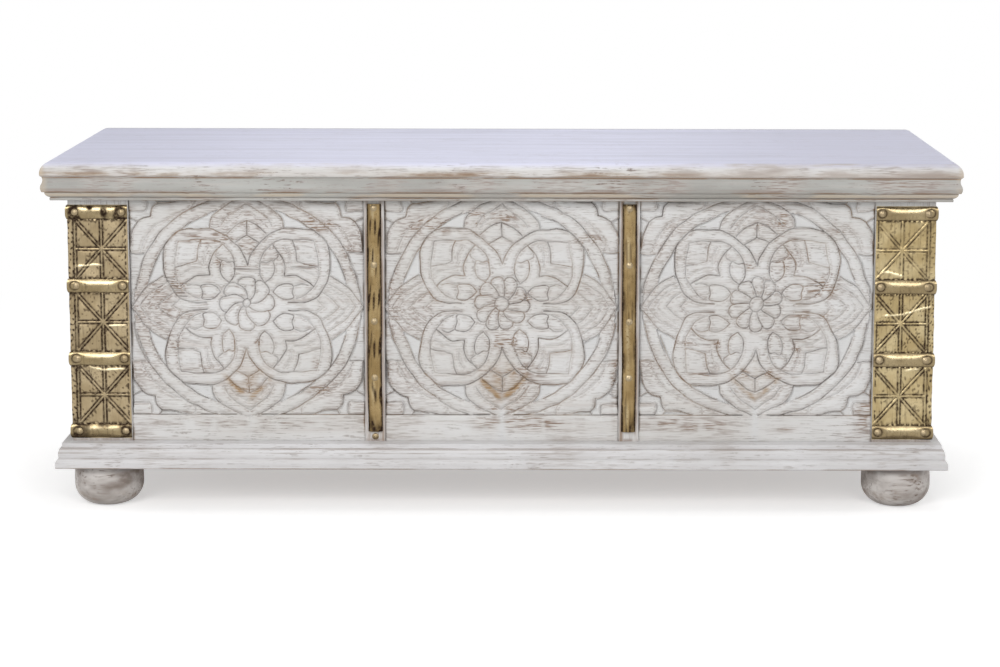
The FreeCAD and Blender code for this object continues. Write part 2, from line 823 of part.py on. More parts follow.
board_depth = (back - lid_front) / LID_BOARDS
lid_boards = []
for index in range(LID_BOARDS):
    board_front = lid_front + board_depth * index
    space = block("board_space", (0 - lid_half, board_front, top),
                  (lid_half, board_front + board_depth, top + s.lid_thickness))
    lid_boards.append(common("lid_board", slab, space))
node("lid_board_front", lid_boards[0])
node("lid_board_middle", cut("lid_board_middle", lid_boards[1], [lid_screws]))
node("lid_board_back", cut(
    "lid_board_back", lid_boards[2], [*leaf_recesses(top - s.cut_overrun, leaf_high), lid_screws]))

lip_face = s.lip_cove_inset - s.lid_overhang
lip_bead_low = 0 - s.lip_cove_height - s.lip_bead_height
lip_profile = [
    (0 - s.lip_clearance, 0),
    (0 - s.lip_clearance, 0 - s.lip_drop),
    (s.lip_foot_inset - s.lid_overhang, 0 - s.lip_drop, Arc(s.lip_foot_rise, True)),
    (s.lip_foot_inset - s.lid_overhang, s.lip_foot_height - s.lip_drop),
    (s.lip_quirk_inset - s.lid_overhang, s.lip_foot_height - s.lip_drop, Arc(s.lip_ovolo_rise, True)),
    (s.lip_step_inset - s.lid_overhang, lip_bead_low - s.lip_step_height),
    (s.lip_step_inset - s.lid_overhang, lip_bead_low),
    (lip_face, lip_bead_low, Arc(s.lip_bead_rise, True)),
    (lip_face, 0 - s.lip_cove_height, Arc(s.lip_cove_rise, False)),
    (lip_face, 0),
]
lip_front = moulding("lid_lip_front", lip_profile, 2 * lid_half, s.lid_overhang, True, True)
place(lip_front, (0 - lid_half, front, top))
lip_left = moulding("lid_lip_left", lip_profile, s.body_depth + s.lid_overhang, s.lid_overhang, False, True)
turn(lip_left, Z_AXIS, -90)
place(lip_left, (0 - half, back, top))
node("lid_lip_front", lip_front)
node_pair("lid_lip_{}", lip_left)
node_pair("lid_batten_{}", block(
    "lid_batten",
    (0 - batten_x - s.batten_width / 2, front_rail_back + s.batten_end_gap, top - s.batten_thickness),
    (s.batten_width / 2 - batten_x, back_rail_front - s.batten_end_gap, top)))


# Corner brass and stile strips

brass_front_end = s.brass_front_width - half
brass_side_end = front + s.brass_side_width


def angle_outline(inside, outside):
    """The plan of a brass angle round the left front corner, between two distances out from the post."""
    return [
        (brass_front_end, front - inside), (0 - half - inside, front - inside),
        (0 - half - inside, brass_side_end), (0 - half - outside, brass_side_end),
        (0 - half - outside, front - outside), (brass_front_end, front - outside)]


seams = [brass_low] + [low + s.strap_height / 2 for low in strap_lows[1:-1]] + [brass_high]
for name, low, high in zip(("lower", "middle", "upper"), seams, seams[1:]):
    plate = padded(f"{name}_plate", "XY_Plane", angle_outline(0, s.plate_thickness), high - low)
    place(plate, (0, 0, low))
    node_pair(f"{{}}_corner_plate_{name}", cut(f"{name}_corner_plate", plate, [left_corner_nails]))


def on_crown(point):
    """Whether an edge's middle lies on the strap's outer faces, away from the strap's ends."""
    depth = s.strap_thickness.value
    outer_x = -(half + strap_out).value + depth / 2
    outer_y = (front - strap_out).value + depth / 2
    inside_ends = point.x < brass_front_end.value - depth and point.y < brass_side_end.value - depth
    return inside_ends and (point.x < outer_x or point.y < outer_y)


strap = padded("strap", "XY_Plane", angle_outline(s.plate_thickness, strap_out), s.strap_height)
rounded(strap, "strap_crown", s.strap_crown_radius, on_crown)
straps = grouped("straps", [copied("strap_copy", strap, X_AXIS, 0, (0, 0, low)) for low in strap_lows])
node_pair("{}_corner_straps", cut("corner_straps", straps, [left_corner_nails]))

strip = padded(
    "strip", "XY_Plane",
    [(0 - s.strip_width / 2, 0), (s.strip_width / 2, 0, Arc(s.strip_rise, True))], strip_high - strip_low)
place(strip, (0 - stile_x, front, strip_low))
node_pair("stile_strip_{}", cut("stile_strip", strip, [left_strip_nails]))


# Lid stay at the right end: bracket with its rivet, slotted arm and stud

flange = block("bracket_flange", (bracket_end, pivot_y - s.bracket_length / 2, top - s.bracket_thickness),
               (tab_outer, pivot_y + s.bracket_length / 2, top))
tab = block("bracket_tab", (tab_inner, pivot_y - s.bracket_tab_radius, pivot_z),
            (tab_outer, pivot_y + s.bracket_tab_radius, top))
tab_end = rod("bracket_tab_end", (tab_inner, pivot_y, pivot_z), s.bracket_thickness, s.bracket_tab_radius)
rivet_end = arm_outer + s.arm_gap
rivet = rod("rivet", (tab_inner, pivot_y, pivot_z), rivet_end - tab_inner, s.rivet_radius)
rivet_head = rod("rivet_head", (rivet_end, pivot_y, pivot_z), s.rivet_head_thickness, s.rivet_head_radius)
bracket = joined("bracket", [flange, tab, tab_end, rivet, rivet_head])
node("stay_bracket", cut("stay_bracket", bracket, [lid_screws]))

arm_side = s.arm_width / 2
arm_length = open_span + s.arm_tip
slot_side = s.stud_radius + s.stud_play
slot_start = closed_span - s.stud_play
slot_end = open_span + s.stud_play
pivot_side = s.rivet_radius + s.pin_play
arm = padded("arm", "YZ_Plane", [
    (arm_side, 0, Arc(arm_side, False)), (0 - arm_side, 0),
    (0 - arm_side, 0 - arm_length, Arc(arm_side, False)), (arm_side, 0 - arm_length)], s.arm_thickness)
pocketed(arm, "arm_slot", "YZ_Plane", [
    (slot_side, 0 - slot_start, Arc(slot_side, False)), (0 - slot_side, 0 - slot_start),
    (0 - slot_side, 0 - slot_end, Arc(slot_side, False)), (slot_side, 0 - slot_end)])
pocketed(arm, "arm_pivot", "YZ_Plane", [
    (pivot_side, 0, Arc(pivot_side, False)), (0 - pivot_side, 0, Arc(pivot_side, False))])
turn(arm, X_AXIS, arm_lean.value)
bind(arm, "Placement.Rotation.Angle", arm_lean)
place(arm, (arm_inner, pivot_y, pivot_z))
node("stay_arm", arm)

stud_start = arm_inner - s.arm_gap
stud_end = rail_face + s.stud_thread_length
stud = joined("stud", [
    rod("stud_head", (stud_start - s.stud_head_thickness, stud_y, stud_z), s.stud_head_thickness,
        s.stud_head_radius),
    rod("stud_shank", (stud_start, stud_y, stud_z), stud_end - stud_start, s.stud_radius),
    rod("stud_collar", (rail_face - s.stud_collar_length, stud_y, stud_z), s.stud_collar_length,
        s.stud_collar_radius)])
node("stay_stud", stud)
node("side_top_rail_right", cut("side_top_rail_right", mirrored("right_rail", side_top_rail), [stud]))


# Checks, then one file for each piece

doc.recompute()
for item in doc.Objects:
    if {"Invalid", "Error"} & set(item.State):
        raise RuntimeError(f"{item.Label} failed: {item.State}")
for name, piece in nodes.items():
    shape = piece.Shape
    if shape.isNull() or not shape.isValid() or not shape.Solids:
        raise RuntimeError(f"{name} has no valid solid")
os.makedirs("parts", exist_ok=True)
for name, piece in nodes.items():
    piece.Shape.exportStep(f"parts/{name}.step")
print(len(nodes), "pieces written")
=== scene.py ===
import math

import bpy
import numpy as np
from mathutils import Euler, Matrix, Vector


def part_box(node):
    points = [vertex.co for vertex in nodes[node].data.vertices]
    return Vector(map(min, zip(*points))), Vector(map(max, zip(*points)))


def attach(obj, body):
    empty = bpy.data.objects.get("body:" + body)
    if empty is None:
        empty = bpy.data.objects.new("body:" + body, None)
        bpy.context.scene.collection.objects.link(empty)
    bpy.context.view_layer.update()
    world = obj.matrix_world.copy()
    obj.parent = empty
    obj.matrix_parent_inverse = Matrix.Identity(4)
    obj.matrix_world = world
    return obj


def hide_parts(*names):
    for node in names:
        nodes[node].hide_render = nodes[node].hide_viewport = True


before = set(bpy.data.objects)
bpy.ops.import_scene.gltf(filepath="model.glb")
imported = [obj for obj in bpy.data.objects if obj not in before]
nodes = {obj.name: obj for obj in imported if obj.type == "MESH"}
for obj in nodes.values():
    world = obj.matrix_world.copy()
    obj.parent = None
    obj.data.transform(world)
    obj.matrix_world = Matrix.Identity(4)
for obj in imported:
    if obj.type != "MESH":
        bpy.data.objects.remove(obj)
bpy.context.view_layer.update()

# The looks of a whitewashed trunk with carved front panels and brass-clad corners. Lengths are in metres,
# apart from the ornament and the brass, which are drawn in millimetres.

MM = 0.001
FAR = 1000.0
TINY = 1e-9
SHARP_ANGLE = math.radians(48)
# Shortest and longest of a pattern's waves, as shares of its wavelength
WAVE_SPREAD = (0.7, 1.5)


def box_mm(name):
    """A node's lowest and highest corners in millimetres."""
    low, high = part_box(name)
    return low / MM, high / MM


# Numbers on grids

def ramp(low, high, value):
    """A smooth step from 0 to 1."""
    share = np.clip((value - low) / (high - low), 0, 1)
    return share * share * (3 - 2 * share)


def hump(value, width, middle=0):
    return np.exp(-((value - middle) / width) ** 2)


def ripples(seed, wavelength, size=1.0, count=7):
    """A seeded pattern of soft bumps over two coordinates, mostly within its size either way."""
    draw = np.random.default_rng(seed)
    headings = draw.uniform(0, 2 * math.pi, count)
    lengths = wavelength * draw.uniform(*WAVE_SPREAD, count)
    phases = draw.uniform(0, 2 * math.pi, count)

    def pattern(u, v):
        total = 0
        for heading, length, phase in zip(headings, lengths, phases):
            run = u * math.cos(heading) + v * math.sin(heading)
            total = total + np.sin(2 * math.pi * run / length + phase)
        return size * (total / math.sqrt(count))

    return pattern


def smooth_line(points, steps=8):
    """A Catmull-Rom curve through the points, as a fine run of points."""
    points = np.asarray(points, float)
    if len(points) < 3:
        return points
    ends = np.vstack([2 * points[0] - points[1], points, 2 * points[-1] - points[-2]])
    share = np.linspace(0, 1, steps, endpoint=False)[:, None]
    runs = []
    for before, start, end, after in zip(ends, ends[1:], ends[2:], ends[3:]):
        runs.append(0.5 * (2 * start + (end - before) * share
                           + (2 * before - 5 * start + 4 * end - after) * share ** 2
                           + (3 * start - before - 3 * end + after) * share ** 3))
    return np.vstack(runs + [points[-1:]])


def arc_line(centre, radius, start, end, steps=48):
    angles = np.radians(np.linspace(start, end, steps))
    return np.stack([centre[0] + radius * np.cos(angles), centre[1] + radius * np.sin(angles)], -1)


class Relief:
    """A grid over a face, with each point's distance to the nearest line scored into it."""

    REACH = 14
    HALF_WIDTH = 1.45
    PATCH_FADE = (1.3, 0.3)

    def __init__(self, u, v):
        self.u_line, self.v_line = u, v
        self.u, self.v = np.meshgrid(u, v)
        self.near = np.full(self.u.shape, FAR)
        self.mark = np.zeros(self.u.shape)

    def score(self, points, weight=1.0):
        for (u0, v0), (u1, v1) in zip(points, points[1:]):
            cols = slice(*np.searchsorted(self.u_line, (min(u0, u1) - self.REACH, max(u0, u1) + self.REACH)))
            rows = slice(*np.searchsorted(self.v_line, (min(v0, v1) - self.REACH, max(v0, v1) + self.REACH)))
            run_u, run_v = u1 - u0, v1 - v0
            u, v = self.u[rows, cols], self.v[rows, cols]
            share = ((u - u0) * run_u + (v - v0) * run_v) / max(run_u * run_u + run_v * run_v, TINY)
            share = np.clip(share, 0, 1)
            gap = np.hypot(u - u0 - share * run_u, v - v0 - share * run_v)
            self.near[rows, cols] = np.minimum(self.near[rows, cols], gap)
            mark = weight * np.clip(1 - gap / self.HALF_WIDTH, 0, 1)
            self.mark[rows, cols] = np.maximum(self.mark[rows, cols], mark)

    def inside(self, points):
        odd = np.zeros(self.u.shape, bool)
        for (u0, v0), (u1, v1) in zip(points, np.roll(points, -1, axis=0)):
            if v0 == v1:
                continue
            crossed = (self.v >= min(v0, v1)) & (self.v < max(v0, v1))
            odd ^= crossed & (self.u < u0 + (self.v - v0) * (u1 - u0) / (v1 - v0))
        return odd

    def patches(self, places):
        """The strongest of soft ellipses, each (u, v, half width, half height, strength)."""
        total = np.zeros(self.u.shape)
        for u, v, half_u, half_v, strength in places:
            gap = np.hypot((self.u - u) / half_u, (self.v - v) / half_v)
            total = np.maximum(total, strength * ramp(*self.PATCH_FADE, gap))
        return total


# Meshes

def grid_quads(rows, cols, start):
    index = start + np.arange(rows * cols).reshape(rows, cols)
    return np.stack([index[:-1, :-1], index[:-1, 1:], index[1:, 1:], index[1:, :-1]], -1).reshape(-1, 4)


def grid_rim(rows, cols):
    index = np.arange(rows * cols).reshape(rows, cols)
    return np.concatenate([index[0, :-1], index[:-1, -1], index[-1, :0:-1], index[:0:-1, 0]])


def sheet_shell(front, back):
    """A closed shell with a front grid, and behind it a grid of the same size or a flat cap of its rim."""
    rows, cols = front.shape[:2]
    rim = grid_rim(rows, cols)
    count = rows * cols
    after = np.roll(rim, -1)
    faces = grid_quads(rows, cols, 0).tolist()
    if back.ndim == 3:
        points = np.vstack([front.reshape(-1, 3), back.reshape(-1, 3)])
        faces += grid_quads(rows, cols, count)[:, ::-1].tolist()
        walls = np.stack([rim, rim + count, after + count, after], -1)
    else:
        points = np.vstack([front.reshape(-1, 3), back])
        order = count + np.arange(len(rim))
        walls = np.stack([rim, order, np.roll(order, -1), after], -1)
        faces.append(order[::-1].tolist())
    return points, faces + walls.tolist()


def link(made):
    bpy.context.scene.collection.objects.link(made)


def piece(name, shells, material, replaced, values):
    """An object made of closed shells, riding on the carcass and standing for a CAD node."""
    points, faces = [], []
    for shell_points, shell_faces in shells:
        start = sum(len(p) for p in points)
        points.append(shell_points)
        faces += [[start + corner for corner in face] for face in shell_faces]
    mesh = bpy.data.meshes.new(name)
    mesh.from_pydata((np.vstack(points) * MM).tolist(), [], faces)
    mesh.validate()
    mesh.shade_smooth()
    mesh.set_sharp_from_angle(angle=SHARP_ANGLE)
    for label, numbers in values.items():
        layer = mesh.attributes.new(label, "FLOAT", "POINT")
        full = np.zeros(len(mesh.vertices), np.float32)
        full[:numbers.size] = numbers.ravel()
        layer.data.foreach_set("value", full)
    mesh.materials.append(material)
    made = bpy.data.objects.new(name, mesh)
    link(made)
    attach(made, "carcass")
    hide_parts(replaced)


# Materials

def srgb(red, green, blue):
    """A colour written as the 0 to 255 numbers of a screen."""
    linear = []
    for part in (red, green, blue):
        part = part / 255
        linear.append(part / 12.92 if part <= 0.04045 else ((part + 0.055) / 1.055) ** 2.4)
    return (*linear, 1)


class Shader:
    """A node tree of a material or of the world."""

    # The Mix node's sockets for colours
    MIX_FIRST, MIX_SECOND, MIX_RESULT = 6, 7, 2

    def __init__(self, owner):
        self.owner = owner
        owner.use_nodes = True
        self.tree = owner.node_tree
        self.tree.nodes.clear()
        self.colour = None

    def node(self, kind, inputs, **settings):
        made = self.tree.nodes.new("ShaderNode" + kind)
        for label, value in settings.items():
            setattr(made, label, value)
        for label, value in inputs.items():
            if isinstance(value, bpy.types.NodeSocket):
                self.tree.links.new(value, made.inputs[label])
            else:
                made.inputs[label].default_value = value
        return made

    def math(self, operation, first, second=0.0):
        return self.node("Math", {0: first, 1: second}, operation=operation).outputs[0]

    def times(self, first, second):
        return self.math("MULTIPLY", first, second)

    def plus(self, first, second):
        return self.math("ADD", first, second)

    def mix(self, factor, first, second):
        inputs = {0: factor, self.MIX_FIRST: first, self.MIX_SECOND: second}
        return self.node("Mix", inputs, data_type="RGBA").outputs[self.MIX_RESULT]

    def band(self, value, low, high, start=0.0, end=1.0):
        inputs = {"Value": value, "From Min": low, "From Max": high, "To Min": start, "To Max": end}
        return self.node("MapRange", inputs, interpolation_type="SMOOTHSTEP").outputs[0]

    def noise(self, vector, scale, detail=3.0, roughness=0.55):
        inputs = {"Vector": vector, "Scale": scale, "Detail": detail, "Roughness": roughness}
        return self.node("TexNoise", inputs).outputs[0]

    def grained(self, axis, pattern, scale=1.0):
        """Noise drawn out along an axis."""
        along, across, shift, *detail = pattern
        stretch = tuple(along if letter == axis else across for letter in "xyz")
        return self.noise(self.stretched(stretch, shift), scale, *detail)

    def coords(self, kind="Object"):
        return self.node("TexCoord", {}).outputs[kind]

    def stretched(self, scale, shift=(0, 0, 0)):
        return self.node("Mapping", {"Vector": self.coords(), "Scale": scale, "Location": shift}).outputs[0]

    def axis(self, vector, letter):
        return self.node("SeparateXYZ", {0: vector}).outputs[letter]

    def attribute(self, label):
        return self.node("Attribute", {}, attribute_name=label).outputs["Fac"]

    def bump(self, height, strength, distance):
        return self.node("Bump", {"Height": height, "Strength": strength, "Distance": distance}).outputs[0]

    def cover(self, share, tint):
        """Lays a tint over the colour so far."""
        self.colour = self.mix(share, self.colour, tint)

    def finish(self, **inputs):
        labels = {label.title(): value for label, value in inputs.items()}
        surface = self.node("BsdfPrincipled", {"Base Color": self.colour, **labels}).outputs[0]
        self.node("OutputMaterial", {"Surface": surface})
        return self.owner


PAINT_WHITE = srgb(212, 211, 210)
PAINT_WARM = srgb(203, 201, 198)
PAINT_FRESH = srgb(206, 206, 206)
# Painted light: a cool tint for the light from above on faces that look up, with its streaks and its darker
# ends
PAINTED_COOL_TOP_LIGHT = srgb(216, 217, 236)
COOL_TOP_LIGHT_STREAK = srgb(196, 197, 214)
COOL_TOP_LIGHT_DARKER = srgb(186, 186, 203)
FOOT_PAINT = srgb(203, 198, 194)
FOOT_SHADE = srgb(120, 107, 98)
# Painted shade: the lid's lip is painted darker than the rest, for the shade under the lid's nose
SHADED_LIP_PAINT = srgb(172, 172, 168)
LIP_SHADE = srgb(148, 146, 141)
PLINTH_PAINT = srgb(213, 212, 213)
PLINTH_SHADE = srgb(200, 198, 198)
DUSTY = srgb(190, 183, 178)
RUBBED = srgb(148, 135, 127)
HATCH = srgb(172, 166, 162)
SCRATCH = srgb(118, 104, 95)
EDGE_SHADE = srgb(128, 122, 120)
WORN = srgb(130, 106, 84)
BEIGE = srgb(194, 179, 158)
CUT_LINE = srgb(84, 74, 66)
CUT_WARM = srgb(126, 99, 70)
STAIN = srgb(150, 121, 84)

# Patterns drawn out along the grain: stretch along and across, shift, detail and any roughness
DASHES = (46, 680, (0, 0, 0), 2)
HAIRS = (20, 1500, (3, 1, 2), 2)
STREAKS = (4, 130, (4, 2, 6), 4)
CLOUDS = (5, 15, (5, 7, 1), 3)
BOARDS = (1.6, 55, (1, 5, 3), 5, 0.65)
BREAKS = (14, 70, (2, 2, 2), 5)
RINGS = (3, 46, (0, 0, 0), 5)
PORES = (18, 700, (0, 0, 0), 2)
# Patterns that run the same every way: scale and detail
SPECKS = {
    "chops": (150, 2), "clusters": (15, 3), "patches": (10, 5), "deep": (12, 4), "cut breaks": (40, 3),
    "soils": (13, 3),
}
# Where each pattern sets in and is full, then its strengths there if they aren't 0 and 1
PAINT = {
    "clouds": (0.36, 0.66), "streaks": (0.5, 0.74, 0, 0.5), "hatch": (0.52, 0.66, 0, 0.3),
    "carved hatch": (0.52, 0.66, 0, 0.27), "patches": (0.46, 0.7), "rubbed": (0.44, 0.58, 0, 0.9),
    "hairs": (0.6, 0.75, 0, 0.25), "deep": (0.56, 0.7), "deep dashes": (0.5, 0.62, 0, 0.85),
    "ticks": (0.56, 0.63), "chops": (0.38, 0.56), "clusters": (0.44, 0.64, 0.2, 1.0),
    "ticks on top": (0.4, 0.95, 1.0, 0.25), "patches on top": (0, 1, 1.0, 0.05), "upright": (0.98, 0.85),
    "top_light_mask": (0.35, 0.97), "boards": (0.4, 0.7, 0, 0.7), "cool top light clouds": (0.5, 0.75, 0, 0.5),
    "scuffs": (0.35, 0.95), "stain": (0.3, 0.6, 0.55, 1.0), "cut": (0.08, 0.95),
    "cut breaks": (0.34, 0.62, 0.55, 1.0), "soils": (0.44, 0.62),
}
# Where the painted cool light on the lid's top turns darker towards the ends: first and last x, and how far
COOL_TOP_LIGHT_DARK_ENDS = [(0.1, 0.46, 0.65), (-0.2, -0.56, 0.4)]
DUST_SHARE = 0.4
FRESH_SHARE = 0.75
PATCH_SHARE = 0.6
EDGE_SHARE = 0.4
# A line of wear or of painted shade: the share of its half width that is full, and how its gaps open
LINE_CORE = 0.3
GAP_RUN = 0.2
GAP_STRENGTH = 0.1
HAIR_RELIEF = 0.5
PAINT_ROUGHNESS = 0.62
PAINT_BUMP = (0.35, 0.0006)


def whitewash(name, grain, wear=1.0, paint=(PAINT_WHITE, PAINT_WARM), scratched=0.5, fineness=1.0,
              painted_cool_top_light=False, lines=(), carved=False):
    """Rubbed white paint over brown wood, with strokes along the grain axis and short scratches, and if asked
    a painted cool light on faces that look up. A line is a band of wear or of painted shade along an edge:
    its axis, place, half width, strength, colour and gaps."""
    shader = Shader(bpy.data.materials.new(name))
    where = shader.coords()
    facing = shader.axis(shader.coords("Normal"), "Z")

    def amount(value, label, times=1.0):
        low, high, *ends = PAINT[label]
        start, end = ends or (0, 1)
        return shader.band(value, low, high, start, end * times)

    def specks(label, finer=1 / fineness):
        scale, detail = SPECKS[label]
        return amount(shader.noise(where, scale * finer, detail), label)

    dashes = shader.grained(grain, DASHES, fineness)
    hairs = shader.grained(grain, HAIRS)
    clouds = shader.grained(grain, CLOUDS, 1 / fineness)
    patches = specks("patches")
    shader.colour = shader.mix(amount(clouds, "clouds"), *paint)
    shader.cover(amount(shader.grained(grain, STREAKS), "streaks", wear), DUSTY)
    shader.cover(amount(dashes, "carved hatch" if carved else "hatch", wear), HATCH)
    # Painted light: faces that look up take a cool tint for the light from above, darker towards the lid's
    # ends
    if painted_cool_top_light:
        top_light_mask = amount(facing, "top_light_mask")
        cool_top_light = shader.mix(amount(shader.grained(grain, BOARDS), "boards"), PAINTED_COOL_TOP_LIGHT, COOL_TOP_LIGHT_STREAK)
        cool_top_light = shader.mix(amount(clouds, "cool top light clouds"), cool_top_light, COOL_TOP_LIGHT_STREAK)
        along = shader.axis(where, "X")
        for start, end, share in COOL_TOP_LIGHT_DARK_ENDS:
            cool_top_light = shader.mix(shader.band(along, start, end, 0, share), cool_top_light, COOL_TOP_LIGHT_DARKER)
        shader.cover(top_light_mask, cool_top_light)
        patches = shader.times(patches, amount(top_light_mask, "patches on top"))
    if carved:
        sunk = shader.attribute("sunk")
        scuff = shader.attribute("scuff")
        raised = shader.math("SUBTRACT", 1.0, sunk)
        shader.cover(shader.times(sunk, FRESH_SHARE), PAINT_FRESH)
        edges = shader.times(shader.attribute("edge"), EDGE_SHARE)
        patches = shader.plus(shader.times(patches, PATCH_SHARE), edges)
        patches = shader.times(shader.math("MINIMUM", shader.plus(patches, scuff), 1.0), raised)
        deep = shader.times(amount(scuff, "scuffs"), raised)
    else:
        deep = shader.times(specks("deep"), patches)
    shader.cover(shader.times(patches, DUST_SHARE * wear), DUSTY)
    shader.cover(shader.times(patches, amount(dashes, "rubbed", wear)), RUBBED)
    shader.cover(amount(hairs, "hairs"), RUBBED)
    shader.cover(shader.times(deep, amount(dashes, "deep dashes", wear)), WORN)
    ticks = shader.times(specks("chops", fineness), amount(dashes, "ticks", scratched))
    places = shader.times(specks("clusters"), amount(facing, "ticks on top"))
    shader.cover(shader.times(ticks, places), SCRATCH)
    if carved:
        shader.cover(shader.times(shader.attribute("stain"), amount(dashes, "stain")), STAIN)
        cut = shader.times(amount(shader.attribute("cut"), "cut"), specks("cut breaks"))
        shader.cover(cut, shader.mix(specks("soils"), CUT_LINE, CUT_WARM))
    upright = amount(shader.math("ABSOLUTE", facing), "upright")
    broken = shader.grained(grain, BREAKS)
    for letter, level, spread, strength, tint, gaps in lines:
        off = shader.math("ABSOLUTE", shader.math("SUBTRACT", shader.axis(where, letter), level))
        line = shader.band(off, spread, LINE_CORE * spread, 0, strength)
        line = shader.times(line, shader.band(broken, gaps, gaps + GAP_RUN, GAP_STRENGTH, 1.0))
        if letter != "Y":
            line = shader.times(line, upright)
        shader.cover(line, tint)
    bump = shader.bump(shader.plus(dashes, shader.times(hairs, HAIR_RELIEF)), *PAINT_BUMP)
    return shader.finish(roughness=PAINT_ROUGHNESS, normal=bump)


BRASS_DARK = srgb(48, 36, 28)
# Pale brass for rubbed crests and for painted highlights
BRASS_RUB_AND_HIGHLIGHT = srgb(226, 212, 176)
BROAD_SPOTS = (34, 4)
FINE_SPOTS = (280, 4)
BRUSH_STRETCH = (420, 420, 36)
# As for the paint
BRASS = {
    "pale": (0.35, 0.7), "brushed": (0.5, 0.75, 0, 0.35), "rubbed": (0.3, 0.55), "blooms": (0.5, 0.72),
    "specks": (0.46, 0.66), "dirt_and_shade": (0.3, 0.55, 0.6, 1.0), "rough": (0.3, 0.7),
}
ROUGH_RANGE = 0.14
DIRT_ROUGHNESS = 0.3
FINE_RELIEF = 0.3
BRASS_BUMP = (0.35, 0.001)


def aged_brass(name, base, pale, tarnish, polish):
    """Sheet brass: dark where dirt stays in its hollows and where shade is painted, pale where its crests are
    rubbed and where highlights are painted.
    """
    shader = Shader(bpy.data.materials.new(name))
    where = shader.coords()
    broad = shader.noise(where, *BROAD_SPOTS)
    fine = shader.noise(where, *FINE_SPOTS)
    brushed = shader.noise(shader.stretched(BRUSH_STRETCH), 1)
    shader.colour = shader.mix(shader.band(broad, *BRASS["pale"]), base, pale)
    shader.cover(shader.band(brushed, *BRASS["brushed"]), BRASS_DARK)
    # Pale brass where crests are rubbed, and painted highlights, from the rub attribute
    shader.cover(shader.times(shader.attribute("rub_and_highlight"), shader.band(fine, *BRASS["rubbed"])), BRASS_RUB_AND_HIGHLIGHT)
    specks = shader.band(fine, *BRASS["specks"], 0, tarnish)
    spots = shader.times(shader.band(broad, *BRASS["blooms"]), specks)
    # Dark brass for dirt in the hollows and for painted shade, from the dirt attribute
    dirt_and_shade = shader.times(shader.attribute("dirt_and_shade"), shader.band(fine, *BRASS["dirt_and_shade"]))
    shader.cover(shader.math("MAXIMUM", spots, dirt_and_shade), BRASS_DARK)
    sheen = shader.band(fine, *BRASS["rough"], polish, polish + ROUGH_RANGE)
    rough = shader.plus(sheen, shader.times(dirt_and_shade, DIRT_ROUGHNESS))
    bump = shader.bump(shader.plus(broad, shader.times(fine, FINE_RELIEF)), *BRASS_BUMP)
    return shader.finish(metallic=1.0, roughness=rough, normal=bump)


WOOD_PALE = srgb(168, 128, 88)
WOOD_DARK = srgb(122, 84, 54)
WOOD_PORE = srgb(84, 56, 36)
RING_BAND = (0.3, 0.7)
PORE_BAND = (0.55, 0.72, 0, 0.6)
WOOD_ROUGHNESS = 0.7
WOOD_BUMP = (0.3, 0.0004)


def bare_wood(name, grain):
    shader = Shader(bpy.data.materials.new(name))
    rings = shader.grained(grain, RINGS)
    pores = shader.grained(grain, PORES)
    shader.colour = shader.mix(shader.band(rings, *RING_BAND), WOOD_PALE, WOOD_DARK)
    shader.cover(shader.band(pores, *PORE_BAND), WOOD_PORE)
    return shader.finish(roughness=WOOD_ROUGHNESS, normal=shader.bump(pores, *WOOD_BUMP))


STEEL_PALE = srgb(150, 146, 140)
STEEL_DARK = srgb(104, 96, 88)
STEEL_STRETCH = (40, 260, 260)
STEEL_BLOOMS = (60, 4)
BLOOM_BAND = (0.4, 0.7)
STEEL_ROUGH = (0.3, 0.7, 0.28, 0.5)
STEEL_BUMP = (0.25, 0.0003)


def hinge_steel(name):
    shader = Shader(bpy.data.materials.new(name))
    scuffs = shader.noise(shader.stretched(STEEL_STRETCH), 1)
    blooms = shader.noise(shader.coords(), *STEEL_BLOOMS)
    shader.colour = shader.mix(shader.band(blooms, *BLOOM_BAND), STEEL_PALE, STEEL_DARK)
    rough = shader.band(scuffs, *STEEL_ROUGH)
    bump = shader.bump(scuffs, *STEEL_BUMP)
    return shader.finish(metallic=1.0, roughness=rough, normal=bump)


# Carved front panels: the ornament is drawn for one quarter and mirrored

RING_OUTER = 145
RING_INNER = 130
RING_ARCS = [(RING_OUTER, 8, 82), (RING_INNER, 17, 67)]
CRESCENT_INNER = 88
CARVING_HALF = 140.5
CARVING_MIDDLE = 263
ROSETTE_RISE = 4
ROSETTE_RADIUS = 35
PETAL_NOTCH = 0.8
PETAL_STEPS = 14
LOOP_OUTER = [
    (0, 54), (4, 66), (13, 79), (27, 91.5), (45, 100), (64, 101), (82, 99), (94, 91), (103, 79), (106, 64),
    (104, 46), (99.5, 32), (92, 18), (84, 10), (72, 6), (52, 5)]
LOOP_BACK = [(30, 18), (0, 40)]
UPRIGHT_EYE = [
    (23, 31), (17, 39), (15.5, 48), (18, 58), (25, 57.5), (32.5, 60), (35, 49), (31.5, 38), (23, 31)]
FLAT_EYE = [(33, 19), (40, 12), (48, 9), (58, 11), (57, 19), (58.5, 28), (49, 30), (40, 27), (33, 19)]
